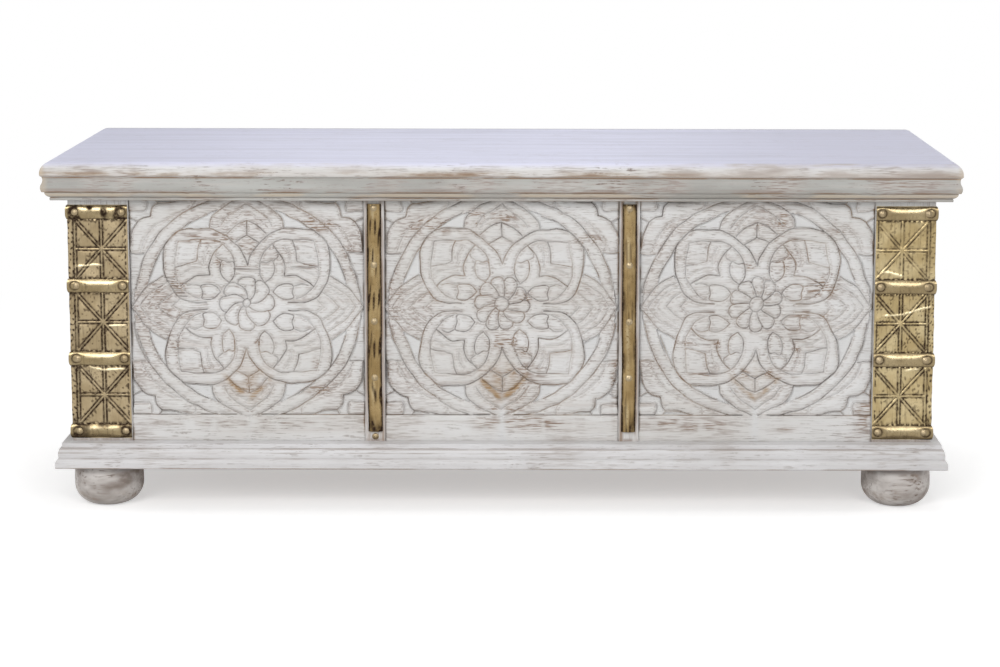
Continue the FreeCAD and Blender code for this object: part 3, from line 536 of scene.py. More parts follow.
# Each stroke of a quarter with its weight, from 0 for faint to 1 for strong
QUARTER_STROKES = [
    (LOOP_OUTER, 0.9),
    ([(16, 45), (16.5, 57), (23, 72), (34, 82), (46, 86.5), (58, 86), (74, 85), (86.5, 84)], 0.75),
    ([(86.5, 84), (89, 68), (91, 54), (90, 40), (83, 27), (73, 16), (61, 10)], 0.62),
    (UPRIGHT_EYE, 0.85),
    (FLAT_EYE, 0.85),
    ([(47.5, 41.5), (49, 54), (43, 68), (33, 80)], 0.9),
    ([(47.5, 41.5), (62, 42), (74, 36), (84, 28)], 0.9),
    ([(64, 59.5), (62.5, 74), (58, 86)], 0.85),
    ([(64, 59.5), (76, 56), (90.5, 53)], 0.8),
    ([(55, 55), (55, 67), (49, 79)], 0.45),
    ([(59, 50), (73, 48), (86, 42)], 0.4),
    ([(34, 61), (40, 66), (38, 74)], 0.7),
    ([(60, 28), (69, 31), (77, 29)], 0.7),
    ([(48, 102), (44.5, 115), (31, 128), (16, 136), (0, 143)], 0.75),
    ([(33, 104), (24, 117), (11, 126), (0, 133)], 0.6),
    ([(27, 102), (18, 112), (8, 119), (0, 122)], 0.35),
    ([(26, 94), (12, 106), (0, 111)], 0.8),
    ([(16, 83), (7, 88), (0, 92)], 0.85),
    ([(0, 111), (0, 92)], 0.8),
    ([(106, 42), (127, 28), (140, 11), (147, 0)], 0.7),
    ([(101, 33), (122, 20), (132, 9), (138, 0)], 0.55),
    ([(98, 28), (116, 16), (124, 7), (129, 0)], 0.3),
    ([(92, 21), (106, 11), (116, 0)], 0.55),
    ([(85, 12), (92, 5), (97, 0)], 0.5),
    ([(149, 70), (147, 84), (145, 97), (138, 110)], 0.9),
    ([(138, 110), (130, 115), (121, 117)], 0.95),
    ([(121, 117), (119, 128), (113, 135)], 0.95),
    ([(113, 135), (96, 136), (78, 140.5)], 0.9),
    ([(138, 110), (149, 116)], 0.75),
    ([(113, 135), (117, 140.5)], 0.75),
    ([(149, 70), (141, 69), (130, 70)], 0.75),
    ([(135, 71), (128, 89), (115, 104), (96, 116), (80, 122), (69, 130), (67.5, 140.5)], 0.45),
    ([(128, 140.5), (128, 125), (149, 125)], 0.6),
]
CORNER_LEAF = [
    (130, 70), (149, 70), (147, 84), (145, 97), (138, 110), (130, 115), (121, 117), (119, 128), (113, 135),
    (96, 136), (78, 140.5), (40, 140.5), (80, 80)]
CORNER_SQUARE = [(128, 150), (128, 125), (150, 125), (150, 150)]
BUD_UP = [
    (0, 56), (30, 86), (48, 102), (44.5, 115), (31, 128), (16, 136), (0, 143), (-1, 143), (-1, 56)]
BUD_OUT = [(52, 0), (84, 10), (106, 42), (127, 28), (140, 11), (147, 0), (147, -1), (52, -1)]
LOOP_CORNER = [(64, 59.5), (62.5, 74), (58, 86), (86.5, 84), (90.5, 53), (76, 56)]
QUARTERS = [(1, 1), (-1, 1), (-1, -1), (1, -1)]
RING_WEIGHT = 0.8
ROSETTE_WEIGHT = 0.8
KNIFE_WEIGHT = 0.8
# Depths of the carving, and the widths over which they are reached
LINE_DEPTH = 1.7
PILLOW_DEPTH = 2.4
PILLOW_WIDTH = 5.0
GROUND_DEPTH = 4.6
SQUARE_DEPTH = 1.2
EYE_DEPTH = 0.8
WALL_WIDTH = 2.2
SIDE_DEPTH = 1.2
SIDE_WIDTH = 1.8
SWELL_DEPTH = 0.35
SWELL_WAVE = 60
# How far the carver's hand strays: wavelength and size
HAND_SWAY = [(120, 1.3), (26, 0.55)]
SWAY_SEEDS = 5
# The grid is coarse beyond the carving's spill
CARVING_COLUMNS = 286
CARVING_ROWS = 268
CARVING_SPILL = 3
MARGIN_ROWS = 10
MARGIN_START = 4
STEM_GAP = 16
PANEL_GAP = 7
# The stain in the lower bud is a soft V with a pale cloud above it
STAIN_TIP = 120
STAIN_SLOPE = 0.95
STAIN_WIDTH = 5.5
STAIN_FADE = (38, 22)
# The cloud's half width, half height, drop and strength
STAIN_CLOUD = (24, 26, 94, 0.4)
STAIN_LEAST = 0.5
# White paint smeared down from the carving's foot
STEM_WIDTH = 6
STEM_FADE = (-112, -124)
# Grime along the panel's sides
GRIME_WIDTH = 2.5
GRIME_WAVE = 40
GRIME_GAPS = (-0.4, 0.5)
GRIME_CUT = 0.8
GRIME_STAIN = 0.35
# Blots in stain and scuffs: wavelength and size
PANEL_BLOTS = (22, 0.5)
SCUFF_GAPS = (0.1, 0.7)
SCUFF_BASE = 0.3
# Worn edges beside the lines: width and place
WORN_EDGE = (1.5, 2.6)
# How fresh the paint stays
CORNER_FRESH = 0.6
SQUARE_FRESH = 0.2
STEM_FRESH = 0.9

# How the three panels differ: their rosette's petals, turn, swirl and hub, the strength of the stain in the
# lower bud and of the paint smeared below it, where the paint is scuffed, and strokes of a slipped knife
PANELS = {
    "left": {
        "seed": 11, "rosette": (8, 0.2, 0.62, 5), "stain": 0.75, "smear": 0.3,
        "scuffs": [
            (-50, 88, 44, 10, 0.85), (2, 79, 14, 12, 0.85), (91, 108, 26, 12, 1.0), (-88, 30, 13, 18, 1.0),
            (-115, 14, 20, 16, 0.6), (-88, -8, 22, 9, 0.9), (-35, 57, 8, 8, 0.9), (76, 53, 18, 4, 0.9),
            (132, 60, 12, 40, 0.45), (0, 50, 20, 4, 0.8), (0, 112, 40, 22, 0.35), (-110, 62, 14, 26, 0.35),
            (89, -108, 24, 9, 0.8), (-92, -50, 7, 7, 0.7), (12, -46, 7, 5, 0.9), (86, -72, 6, 12, 0.7),
            (0, -152, 160, 7, 0.6), (-60, -80, 34, 9, 0.5), (0, -104, 30, 16, 0.6),
            (-138, -60, 10, 60, 0.35)],
        "strokes": [
            [(-104, 40), (-92, 37)], [(-102, 35), (-90, 32)], [(-100, 30), (-88, 27)], [(-97, 25), (-85, 22)],
            [(-94, 20), (-80, 18)], [(-90, 15), (-76, 13)], [(-17, 49), (17, 49)], [(56, 53), (85, 53)],
            [(-95, -55), (-72, -55)]]},
    "middle": {
        "seed": 23, "rosette": (10, 0.25, 0.3, 9), "stain": 1.0, "smear": 1.0,
        "scuffs": [
            (-88, 104, 40, 18, 0.75), (-34, 116, 16, 14, 1.0), (2, 116, 22, 12, 0.8), (-138, 20, 12, 40, 0.6),
            (110, 88, 26, 10, 0.7), (0, -44, 28, 16, 0.9), (27, -57, 12, 10, 0.9), (30, -84, 30, 12, 0.6),
            (36, -150, 72, 11, 1.0), (-20, -150, 24, 12, 0.8), (-145, -60, 7, 70, 0.7),
            (145, -100, 7, 60, 0.8), (28, 12, 16, 10, 0.8), (0, 4, 34, 34, 0.45), (140, 30, 12, 40, 0.4),
            (-48, 96, 30, 6, 0.5), (-30, -86, 40, 8, 0.4), (0, -132, 40, 6, 0.7)]},
    "right": {
        "seed": 37, "rosette": (10, 0.1, 0.18, 9.5), "stain": 0.5, "smear": 1.0,
        "scuffs": [
            (32, 114, 9, 14, 1.0), (0, 109, 7, 7, 1.0), (-10, 53, 9, 5, 0.9), (84, 26, 26, 18, 0.95),
            (34, 55, 14, 14, 0.6), (66, 20, 12, 9, 0.9), (62, -8, 22, 8, 0.7), (-20, -86, 14, 9, 0.95),
            (24, -86, 16, 9, 0.95), (-50, -48, 6, 9, 0.9), (52, -58, 7, 14, 0.8), (-92, -46, 18, 5, 0.6),
            (-70, -88, 24, 7, 0.7), (-85, -152, 70, 11, 0.8), (40, -156, 26, 4, 0.9),
            (140, -138, 14, 30, 0.9), (-136, 40, 14, 70, 0.4), (-100, 104, 26, 14, 0.5),
            (100, 100, 30, 12, 0.5), (88, -10, 20, 8, 0.6)]},
}


def rosette_strokes(petals, turned, swirl, hub):
    """A hub, the bent sides that the petals share, and a round end on each petal."""
    strokes = [arc_line((0, ROSETTE_RISE), hub, 0, 360)]
    share = np.linspace(0, 1, PETAL_STEPS)
    bulge = np.sqrt(1 - (2 * share - 1) ** 2)
    pitch = 2 * math.pi / petals
    notch = PETAL_NOTCH * ROSETTE_RADIUS
    for index in range(petals):
        start = turned + pitch * (index - 0.5)
        side = (start + swirl * share, hub + (notch - hub) * share)
        tip = (start + swirl + pitch * share, notch + (ROSETTE_RADIUS - notch) * bulge)
        for angle, reach in (side, tip):
            strokes.append(np.stack([reach * np.cos(angle), ROSETTE_RISE + reach * np.sin(angle)], -1))
    return strokes


def carved_panel(name, seed, rosette, stain, smear, scuffs, strokes=()):
    low, high = box_mm(name)
    panel_middle = (low.x + high.x) / 2
    half_width = (high.x - low.x) / 2 - PANEL_GAP
    columns = np.linspace(-half_width, half_width, CARVING_COLUMNS)
    carving_low = CARVING_MIDDLE - CARVING_HALF
    carving_high = CARVING_MIDDLE + CARVING_HALF
    z = np.concatenate([
        np.linspace(low.z, carving_low - MARGIN_START, MARGIN_ROWS),
        np.linspace(carving_low - CARVING_SPILL, carving_high + CARVING_SPILL, CARVING_ROWS),
        np.linspace(carving_high + MARGIN_START, high.z, MARGIN_ROWS)])
    relief = Relief(columns, z - CARVING_MIDDLE)
    u, v = relief.u, relief.v
    sways = []
    for step, sway in enumerate(HAND_SWAY):
        first = seed + SWAY_SEEDS * step
        sways.append((ripples(first, *sway), ripples(first + 1, *sway)))

    def swayed(points):
        points = np.asarray(points, float)
        moved = points.copy()
        for sway_u, sway_v in sways:
            moved[:, 0] += sway_u(points[:, 0], points[:, 1])
            moved[:, 1] += sway_v(points[:, 0], points[:, 1])
        return moved

    lines = [(smooth_line(stroke), weight) for stroke, weight in QUARTER_STROKES]
    lines += [(arc_line((0, 0), *arc), RING_WEIGHT) for arc in RING_ARCS]
    for line, weight in lines:
        for quarter in QUARTERS:
            relief.score(swayed(line * quarter), weight)
    for stroke in rosette_strokes(*rosette):
        relief.score(swayed(stroke), ROSETTE_WEIGHT)
    for stroke in strokes:
        relief.score(swayed(stroke), KNIFE_WEIGHT)
    for end in (-half_width, half_width):
        relief.score([(end, -CARVING_HALF), (math.copysign(STEM_GAP, end), -CARVING_HALF)])

    def within(outline):
        found = np.zeros(u.shape, bool)
        for quarter in QUARTERS:
            found |= relief.inside(swayed(np.asarray(outline) * quarter))
        return found

    radius = np.hypot(u, v)
    loops = within(smooth_line(LOOP_OUTER + LOOP_BACK))
    buds = within(BUD_UP) | within(BUD_OUT)
    crescents = (radius < RING_INNER) & (radius > CRESCENT_INNER) & ~loops & ~buds
    carved = np.abs(v) < CARVING_HALF
    corners = (radius > RING_OUTER) & carved & ~within(CORNER_LEAF) & ~within(CORNER_SQUARE)
    ground = crescents | corners
    squares = within(LOOP_CORNER)
    eyes = within(UPRIGHT_EYE) | within(FLAT_EYE)

    near = relief.near
    wall = ramp(0, WALL_WIDTH, near)
    sunk = GROUND_DEPTH * ground * wall + SQUARE_DEPTH * squares * wall + EYE_DEPTH * eyes * wall
    pillow = PILLOW_DEPTH * np.exp(-near / PILLOW_WIDTH) * (carved & ~ground)
    depth = sunk + LINE_DEPTH * relief.mark + pillow
    depth += SWELL_DEPTH * (1 + ripples(seed + 2, SWELL_WAVE)(u, v)) * carved
    from_middle = np.abs(u)
    to_side = half_width - from_middle
    depth += SIDE_DEPTH * (1 - ramp(0, SIDE_WIDTH, to_side))

    across = np.broadcast_to(z[:, None], depth.shape)
    front = np.stack([panel_middle + u, low.y + depth, across], -1)
    rim = front.reshape(-1, 3)[grid_rim(*depth.shape)].copy()
    rim[:, 1] = high.y
    tail = hump(v + STAIN_TIP - STAIN_SLOPE * from_middle, STAIN_WIDTH) * ramp(*STAIN_FADE, from_middle)
    wide, tall, drop, share = STAIN_CLOUD
    tail = np.maximum(tail, share * hump(np.hypot(u / wide, (v + drop) / tall), 1))
    stem = hump(u, STEM_WIDTH) * ramp(*STEM_FADE, v)
    blots = 0.5 + ripples(seed + 3, *PANEL_BLOTS)(u, v)
    sides = hump(to_side, GRIME_WIDTH) * ramp(*GRIME_GAPS, ripples(seed + 4, GRIME_WAVE)(u, v))
    fresh = (crescents + CORNER_FRESH * corners + SQUARE_FRESH * squares) * wall + STEM_FRESH * smear * stem
    values = {
        "cut": np.clip(relief.mark * carved + GRIME_CUT * sides, 0, 1),
        "edge": hump(near, *WORN_EDGE) * carved * ~ground,
        "sunk": np.clip(fresh, 0, 1),
        "stain": np.clip(stain * tail * (STAIN_LEAST + blots) + GRIME_STAIN * sides, 0, 1),
        "scuff": relief.patches(scuffs) * ramp(*SCUFF_GAPS, blots + SCUFF_BASE),
    }
    piece(name + "_carved", [sheet_shell(front, rim)], carved_paint, name, values)


# Brass: embossed corner plates, crowned straps and half-round strips

# Dents, threads and strays: wavelength and size. Groove, rim, nail dent and the strip's painted highlight:
# width and place.
SHEET_STEP = 0.8
SHEET_THICKNESS = 0.8
BEND_HALF = 2.4
# The star pressed into each leg of a plate
BORDER_RUN = 9.0
RIDGE_WIDTH = 0.95
RIDGE_RISE = 0.65
GROOVE = (1.2, 2.0)
GROOVE_DEPTH = 0.35
STAR_TIPS = ((0, 0), (0.5, 0), (1, 0), (1, 0.5), (1, 1), (0.5, 1), (0, 1), (0, 0.5))
# The plates' dents and creases
PLATE_DENTS = (24, 0.28)
CREASE_RISE = 0.7
CREASE_WIDTH = 1.3
CREASE_END = 0.08
CREASE_STRAY = (40, 1.6)
STRAP_FADE = 2
SIDE_FADE = 3
PLATE_RANGE = (-0.5, 1.5)
# Dirt on the plates, and painted shadow along the straps. Gaps are where a pattern of blots and flecks opens
# it.
PLATE_BLOTS = 17
PLATE_FLECKS = 5
GROOVE_DIRT = 1.5
GROOVE_CLEAN = 0.4
GROOVE_FLECKS = 0.6
GROOVE_GAPS = (-0.9, 0.3)
CORNER_RUN = 11
CORNER_FLECKS = 0.7
CORNER_GAPS = (-0.6, 0.4)
RIM_DIRT_AND_STRAP_SHADOW = 1.1
RIM = (1.3, 3)
RIM_GAPS = (-0.7, 0.2)
STRAP_SHADOW_WIDTH = 2.8
STRAP_SHADOW_GAPS = (-0.9, 0.1)
BORDER_GAPS = (0.3, 0.9)
SPOT_DIRT = 0.7
SPOT_GAPS = (0.9, 1.5)
# Painted highlight on the creases and faintly on the ridges, over crests that are also rubbed pale
CREASE_HIGHLIGHT = 0.95
RIDGE_HIGHLIGHT = 0.12
RIDGE_GAPS = (-0.4, 0.5)
# The straps and the dents round their nails
STRAP_COUNT = 4
STRAP_ROWS = 24
STRAP_SWELL = 1.1
STRAP_SCALE = 0.96
STRAP_LEAST = 0.3
SHOULDER_POWER = 2
SHOULDER_AT_NAILS = 3
NAIL_INNER = 7.5
NAIL_OUTER = 9.0
NAIL_SIDE = 15.0
NAIL_FLAT = 10
NAIL_DENT = (1.3, 5.4)
DENT_DEPTH = 0.5
# The straps that are crumpled and dirty, counted from below
CRUMPLED = {("left_corner_straps", 3): 0.9, ("left_corner_straps", 0): 0.7, ("right_corner_straps", 0): 0.45}
CRUMPLE_LEAST = 0.15
CRUMPLE_RISE = 0.3
CRUMPLE_WAVE = 24
STRAP_STRAY = (50, 0.45)
STRAY_LEAST = 0.4
STRAP_EDGE = (0.8, 1.0)
SPOILED = (0.35, 0.9)
SPOILED_GAPS = (-0.5, 0.5)
SPOILED_AT_NAILS = 1.2
# A darker ring round each nail, and painted shade along the strap's edges
NAIL_RING_DARKNESS = 0.9
STRAP_EDGE_SHADE = 0.85
# A painted highlight on the crown: its place and width as shares of the height, its fade towards the nails,
# and its strength
CROWN_PLACE = 0.2
CROWN_WIDTH = 0.14
CROWN_SPAN = (0.3, 0.9)
CROWN_HIGHLIGHT = 0.3
# The strips, with fine threads along them
STRIP_ROWS = 230
STRIP_COLUMNS = 23
STRIP_ROUND = 2.4
STRIP_SINK = 0.3
STRIP_LEAST = 0.25
STRIP_FLANK = (1, 0.8)
STRIP_DENTS = (50, 0.12)
THREADS = (6, 0.1)
THREAD_STRETCH = 0.12
STRIP_STRAY = (130, 0.3)
STRIP_FOOT = 16
STRIP_HEAD = 9
LINE_WAVE = 5
LINE_STRETCH = 0.1
LINE_GAPS = (0.3, 1.1)
# Painted shade down the strip's flanks
FLANK_SHADE = (0.62, 0.96)
END_DIRT = 0.9
END_GAPS = (-0.9, 0.5)
# A painted highlight left of the strip's middle, and how it breaks
STRIP_HIGHLIGHT = 0.3
STRIP_HIGHLIGHT_BAND = (0.25, -0.2)
HIGHLIGHT_WAVE = 60
HIGHLIGHT_GAPS = (0, 0.9)


def strap_height():
    """Straps stand evenly, and the first seam lies behind the middle of the second one, so at
    height / 2 + (whole - height) / 3. That is solved for the height."""
    low, high = box_mm("left_corner_straps")
    seam = box_mm("left_corner_plate_middle")[0].z
    return 6 * (seam - low.z) - 2 * (high.z - low.z)


class CornerSheet:
    """A grid on a brass angle round a front corner, drawn for the left one and mirrored for the right one."""

    def __init__(self, name):
        low, high = box_mm(name)
        self.mirror = 1 if high.x < 0 else -1
        inner, outer = sorted((abs(low.x), abs(high.x)))
        self.front_run = outer - inner
        self.side_run = high.y - low.y
        self.low, self.high = low, high
        whole = self.front_run + self.side_run
        run = np.linspace(0, whole, int(whole / SHEET_STEP))
        past = run - self.front_run
        self.x = np.where(past <= 0, -inner - run, -outer)
        self.y = np.where(past <= 0, low.y, low.y + past)
        way = ramp(-BEND_HALF, BEND_HALF, past) * math.pi / 2
        self.way_x, self.way_y = -np.sin(way), -np.cos(way)
        self.run = run

    def placed(self, out, z):
        return np.stack([self.mirror * (self.x + self.way_x * out), self.y + self.way_y * out,
                         np.broadcast_to(z, out.shape)], -1)

    def shell(self, out, inside, z):
        points, faces = sheet_shell(self.placed(out, z), self.placed(np.full(out.shape, inside), z))
        return points, [face[::-1] for face in faces] if self.mirror > 0 else faces


def star_relief(sheet, level, height):
    """An eight-rayed star pressed into each leg of a corner plate, and a border beside the corner."""
    relief = Relief(sheet.run, level)
    for width, way in ((sheet.front_run, -1), (sheet.side_run, 1)):
        def at(share_u, share_v):
            return (sheet.front_run + way * (BORDER_RUN + share_u * (width - BORDER_RUN)), share_v * height)
        for tip in STAR_TIPS:
            relief.score([at(0.5, 0.5), at(*tip)])
        relief.score([at(0, 0), at(0, 1)])
    return relief.near


def corner_plate(name, seed, material, crease, grime):
    """A plate with its crease as (level share at the corner, slope, first and last share from the corner)."""
    sheet = CornerSheet(name)
    strap = strap_height()
    z = np.linspace(sheet.low.z, sheet.high.z, int((sheet.high.z - sheet.low.z) / SHEET_STEP))
    bottom = sheet.low.z + strap * (1 if "lower" in name else 0.5)
    top = sheet.high.z - strap * (1 if "upper" in name else 0.5)
    near = star_relief(sheet, z - bottom, top - bottom)
    run, level = np.meshgrid(sheet.run, z)
    shown = ramp(0, STRAP_FADE, level - bottom) * ramp(0, STRAP_FADE, top - level)

    crease_level, slope, first, last = crease
    along = np.abs(sheet.front_run - run) / sheet.front_run
    stray = ripples(seed + 4, *CREASE_STRAY)(run, run * 0)
    off = level - bottom - (crease_level + slope * along) * (top - bottom) - stray
    fold = hump(off, CREASE_WIDTH) * ramp(first, first + CREASE_END, along)
    fold = fold * ramp(last, last - CREASE_END, along)
    ridge = hump(near, RIDGE_WIDTH)
    groove = hump(near, *GROOVE)
    dents = ripples(seed, *PLATE_DENTS)(run, level)
    out = RIDGE_RISE * ridge - GROOVE_DEPTH * groove + dents + CREASE_RISE * fold
    ends = ramp(0, SIDE_FADE, run) * ramp(0, SIDE_FADE, sheet.run[-1] - run)
    out = np.clip(out, *PLATE_RANGE) * shown * ends

    to_level = np.minimum(level - bottom, top - level)
    to_end = np.minimum(run, sheet.run[-1] - run)
    to_bend = np.abs(run - sheet.front_run)
    to_corner = np.hypot(to_level, np.minimum(to_end, np.abs(to_bend - BORDER_RUN)))
    blots = ripples(seed + 7, PLATE_BLOTS)(run, level)
    flecks = ripples(seed + 8, PLATE_FLECKS)(run, level)
    broken = ramp(*GROOVE_GAPS, blots + GROOVE_FLECKS * flecks)
    # Dirt in the grooves, at the ends, on the border and in spots; painted shadow from the straps along the
    # top and bottom; dark corners beside the straps that are dirt and painted shadow together
    dirt_and_shade = np.maximum.reduce([
        GROOVE_DIRT * groove * (grime - GROOVE_CLEAN + GROOVE_CLEAN * broken),
        grime * hump(to_corner, CORNER_RUN) * ramp(*CORNER_GAPS, blots + CORNER_FLECKS * flecks),
        RIM_DIRT_AND_STRAP_SHADOW * hump(to_end, *RIM) * ramp(*RIM_GAPS, flecks + blots),
        RIM_DIRT_AND_STRAP_SHADOW * hump(to_level, STRAP_SHADOW_WIDTH) * ramp(*STRAP_SHADOW_GAPS, flecks),
        grime * (to_bend < BORDER_RUN) * ramp(*BORDER_GAPS, flecks),
        SPOT_DIRT * grime * ramp(*SPOT_GAPS, blots + flecks)])
    # Painted highlight along the creases and faintly on the ridges' crests, which are also rubbed pale
    rub_and_highlight = np.clip(CREASE_HIGHLIGHT * fold + RIDGE_HIGHLIGHT * ridge * ramp(*RIDGE_GAPS, flecks), 0, 1)
    shells = [sheet.shell(out, -SHEET_THICKNESS, z[:, None])]
    values = {"dirt_and_shade": np.clip(dirt_and_shade * ends * (1 - fold), 0, 1), "rub_and_highlight": rub_and_highlight}
    piece(name + "_embossed", shells, material, name, values)


def corner_straps(name, seed):
    sheet = CornerSheet(name)
    height = strap_height()
    thickness = box_mm("left_corner_plate_middle")[0].y - sheet.low.y
    pitch = (sheet.high.z - sheet.low.z - height) / (STRAP_COUNT - 1)
    across = np.linspace(-height / 2, height / 2, STRAP_ROWS)
    run, level = np.meshgrid(sheet.run, across)
    bend, end = sheet.front_run, sheet.run[-1]
    nails = [NAIL_INNER, bend - NAIL_OUTER, bend + NAIL_SIDE, end - NAIL_INNER]
    span = np.ones(run.shape)
    ring = np.zeros(run.shape)
    for at in nails:
        gap = np.hypot(run - at, level)
        span = span * (1 - hump(run - at, NAIL_FLAT))
        ring = np.maximum(ring, hump(gap, *NAIL_DENT))
    from_middle = np.abs(2 * level / height)
    shoulder = 1 - from_middle ** (SHOULDER_POWER + SHOULDER_AT_NAILS * (1 - span))
    edge = ramp(*STRAP_EDGE, from_middle)
    # Painted highlight along the upper part of the crown, fading towards the nails
    crown_highlight = hump(level - CROWN_PLACE * height, CROWN_WIDTH * height) * ramp(*CROWN_SPAN, span)
    shells, dirt_and_shade, rub_and_highlight = [], [], []
    for index in range(STRAP_COUNT):
        crumple = CRUMPLED.get((name, index), CRUMPLE_LEAST)
        waves = ripples(seed + index, CRUMPLE_WAVE)(run, level)
        out = (thickness + STRAP_SWELL * span) * shoulder - thickness - DENT_DEPTH * ring
        out += CRUMPLE_RISE * crumple * waves * shoulder * span
        stray = ripples(seed + 9 + index, *STRAP_STRAY)(run, level * 0)
        z = sheet.low.z + height / 2 + pitch * index + STRAP_SCALE * level
        z = z + stray * (STRAY_LEAST + crumple)
        shells.append(sheet.shell(np.maximum(out, STRAP_LEAST - thickness), -thickness, z))
        spoiled = ramp(*SPOILED, crumple) * ramp(*SPOILED_GAPS, waves + SPOILED_AT_NAILS * (0.5 - span))
        # A darker ring round each nail, painted shade along both edges where the strap curves away, and dirt
        # on the spoiled straps
        grime = NAIL_RING_DARKNESS * ring + STRAP_EDGE_SHADE * edge + spoiled
        dirt_and_shade.append(np.concatenate([np.clip(grime, 0, 1).ravel(), np.ones(out.size)]))
        rub_and_highlight.append(np.concatenate([(CROWN_HIGHLIGHT * crown_highlight).ravel(), np.zeros(out.size)]))
    values = {"dirt_and_shade": np.concatenate(dirt_and_shade), "rub_and_highlight": np.concatenate(rub_and_highlight)}
    piece(name + "_crowned", shells, bright_brass, name, values)


def stile_strip(name, seed, grime):
    low, high = box_mm(name)
    middle, half = (low.x + high.x) / 2, (high.x - low.x) / 2
    rise = high.y - low.y
    z = np.linspace(low.z, high.z, STRIP_ROWS)
    share, level = np.meshgrid(np.linspace(-1, 1, STRIP_COLUMNS), z)
    run = share * half
    from_middle = np.abs(share)
    out = rise * np.sqrt(np.clip(1 - from_middle ** STRIP_ROUND, 0, 1))
    dents = ripples(seed, *STRIP_DENTS)(run, level)
    dents += ripples(seed + 1, *THREADS)(run, THREAD_STRETCH * level)
    out = np.clip(out - STRIP_SINK + dents * ramp(*STRIP_FLANK, from_middle), STRIP_LEAST, rise)
    x = middle + run + ripples(seed + 2, *STRIP_STRAY)(level, level * 0)
    front = np.stack([x, high.y - out, level], -1)
    rear = np.stack([x, np.full(x.shape, high.y), level], -1)
    ends = hump(level - z[0], STRIP_FOOT) + hump(z[-1] - level, STRIP_HEAD)
    threads = ripples(seed + 3, LINE_WAVE)(run, LINE_STRETCH * level)
    # Painted shade down both flanks, where the half-round turns away, with dirt at the ends and along threads
    dirt_and_shade = ramp(*FLANK_SHADE, from_middle) + END_DIRT * ends * ramp(*END_GAPS, threads)
    dirt_and_shade += grime * ramp(*LINE_GAPS, threads)
    # Painted highlight: a broken pale band left of the strip's middle
    rub_and_highlight = STRIP_HIGHLIGHT * hump(share, *STRIP_HIGHLIGHT_BAND)
    rub_and_highlight = rub_and_highlight * ramp(*HIGHLIGHT_GAPS, ripples(seed + 5, HIGHLIGHT_WAVE)(run, level))
    values = {"dirt_and_shade": np.clip(dirt_and_shade, 0, 1), "rub_and_highlight": rub_and_highlight}
    piece(name + "_rolled", [sheet_shell(front, rear)], strip_brass, name, values)


# Finishes

LID_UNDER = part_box("lid_board_front")[0].z
LID_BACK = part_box("lid_board_back")[1].y
LID_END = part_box("lid_board_front")[1].x
LIP_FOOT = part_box("lid_lip_front")[0].z
PLINTH_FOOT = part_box("plinth_front")[0].z
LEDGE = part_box("plinth_front")[1].z
POST_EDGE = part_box("front_left_post")[1].x
STILE_LOW, STILE_HIGH = [corner.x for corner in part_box("front_stile_right")]
STRIP_LOW, STRIP_HIGH = [corner.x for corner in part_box("stile_strip_right")]


def level_lines(base, rows):
    """Lines of wear or of painted shade at heights above a base, with the rest of what whitewash takes."""
    return [("Z", base + rise, *rest) for rise, *rest in rows]


def side_lines(rows):
    """Worn lines to the left and to the right of the middle."""
    return [("X", mirror * place, *rest) for mirror in (-1, 1) for place, *rest in rows]


LID_LINES = level_lines(LID_UNDER, [
    (0.001, 0.0022, 0.9, RUBBED, 0.36), (0.004, 0.0045, 0.5, BEIGE, 0.42),
    (0.004, 0.0035, 0.9, WORN, 0.45), (0.008, 0.003, 0.8, RUBBED, 0.48)])
LID_LINES += [("Y", LID_BACK, 0.005, 0.9, EDGE_SHADE, 0.3)]
LID_LINES += side_lines([(LID_END, 0.008, 0.6, BEIGE, 0.36)])
LID_LINES += [
    ("X", 0.4, 0.24, 0.8, DUSTY, 0.4), ("X", -0.25, 0.16, 0.5, DUSTY, 0.46),
    ("X", 0.42, 0.22, 0.5, RUBBED, 0.48)]
# Painted shade: the WORN lines 30.5 mm and 11.5 mm above the lip's foot and at the foot darken the groove
# under the nose, the foot of the fascia and the lip's lower edge; the one at 30.5 mm is brown wear as well
LIP_WEAR_AND_SHADE_LINES = level_lines(LIP_FOOT, [
    (0.0305, 0.002, 0.95, WORN, 0.34), (0.0145, 0.003, 0.7, RUBBED, 0.44),
    (0.0115, 0.0017, 1.0, WORN, 0.42), (0.0075, 0.0034, 0.7, BEIGE, 0.4),
    (0.0038, 0.0016, 1.0, WORN, 0.42), (0, 0.001, 0.7, WORN, 0.36)])
LIP_WEAR_AND_SHADE_LINES += side_lines([(LID_END, 0.012, 0.5, BEIGE, 0.36)])
PLINTH_LINES = level_lines(PLINTH_FOOT, [
    (0.0255, 0.0014, 0.8, RUBBED, 0.36), (0.013, 0.0016, 0.5, RUBBED, 0.42),
    (0.0205, 0.0012, 0.6, RUBBED, 0.46), (0.0005, 0.0016, 0.7, WORN, 0.36)])
FOOT_LINES = level_lines(PLINTH_FOOT, [(-0.003, 0.009, 0.55, EDGE_SHADE, 0.34)])
FOOT_LINES += level_lines(0, [(0.014, 0.01, 0.6, WORN, 0.46), (0.036, 0.006, 0.7, SCRATCH, 0.54)])
UPRIGHT_LINES = level_lines(LEDGE, [(0, 0.005, 0.8, RUBBED, 0.3)])
UPRIGHT_LINES += side_lines([
    (POST_EDGE, 0.002, 0.4, CUT_LINE, 0.36),
    (STILE_LOW, 0.002, 0.7, CUT_LINE, 0.36), (STILE_HIGH, 0.002, 0.7, CUT_LINE, 0.36),
    (STRIP_LOW, 0.0045, 0.8, DUSTY, 0.3), (STRIP_HIGH, 0.0045, 0.8, DUSTY, 0.3),
    (STRIP_LOW, 0.003, 0.8, WORN, 0.36), (STRIP_HIGH, 0.003, 0.8, WORN, 0.36)])

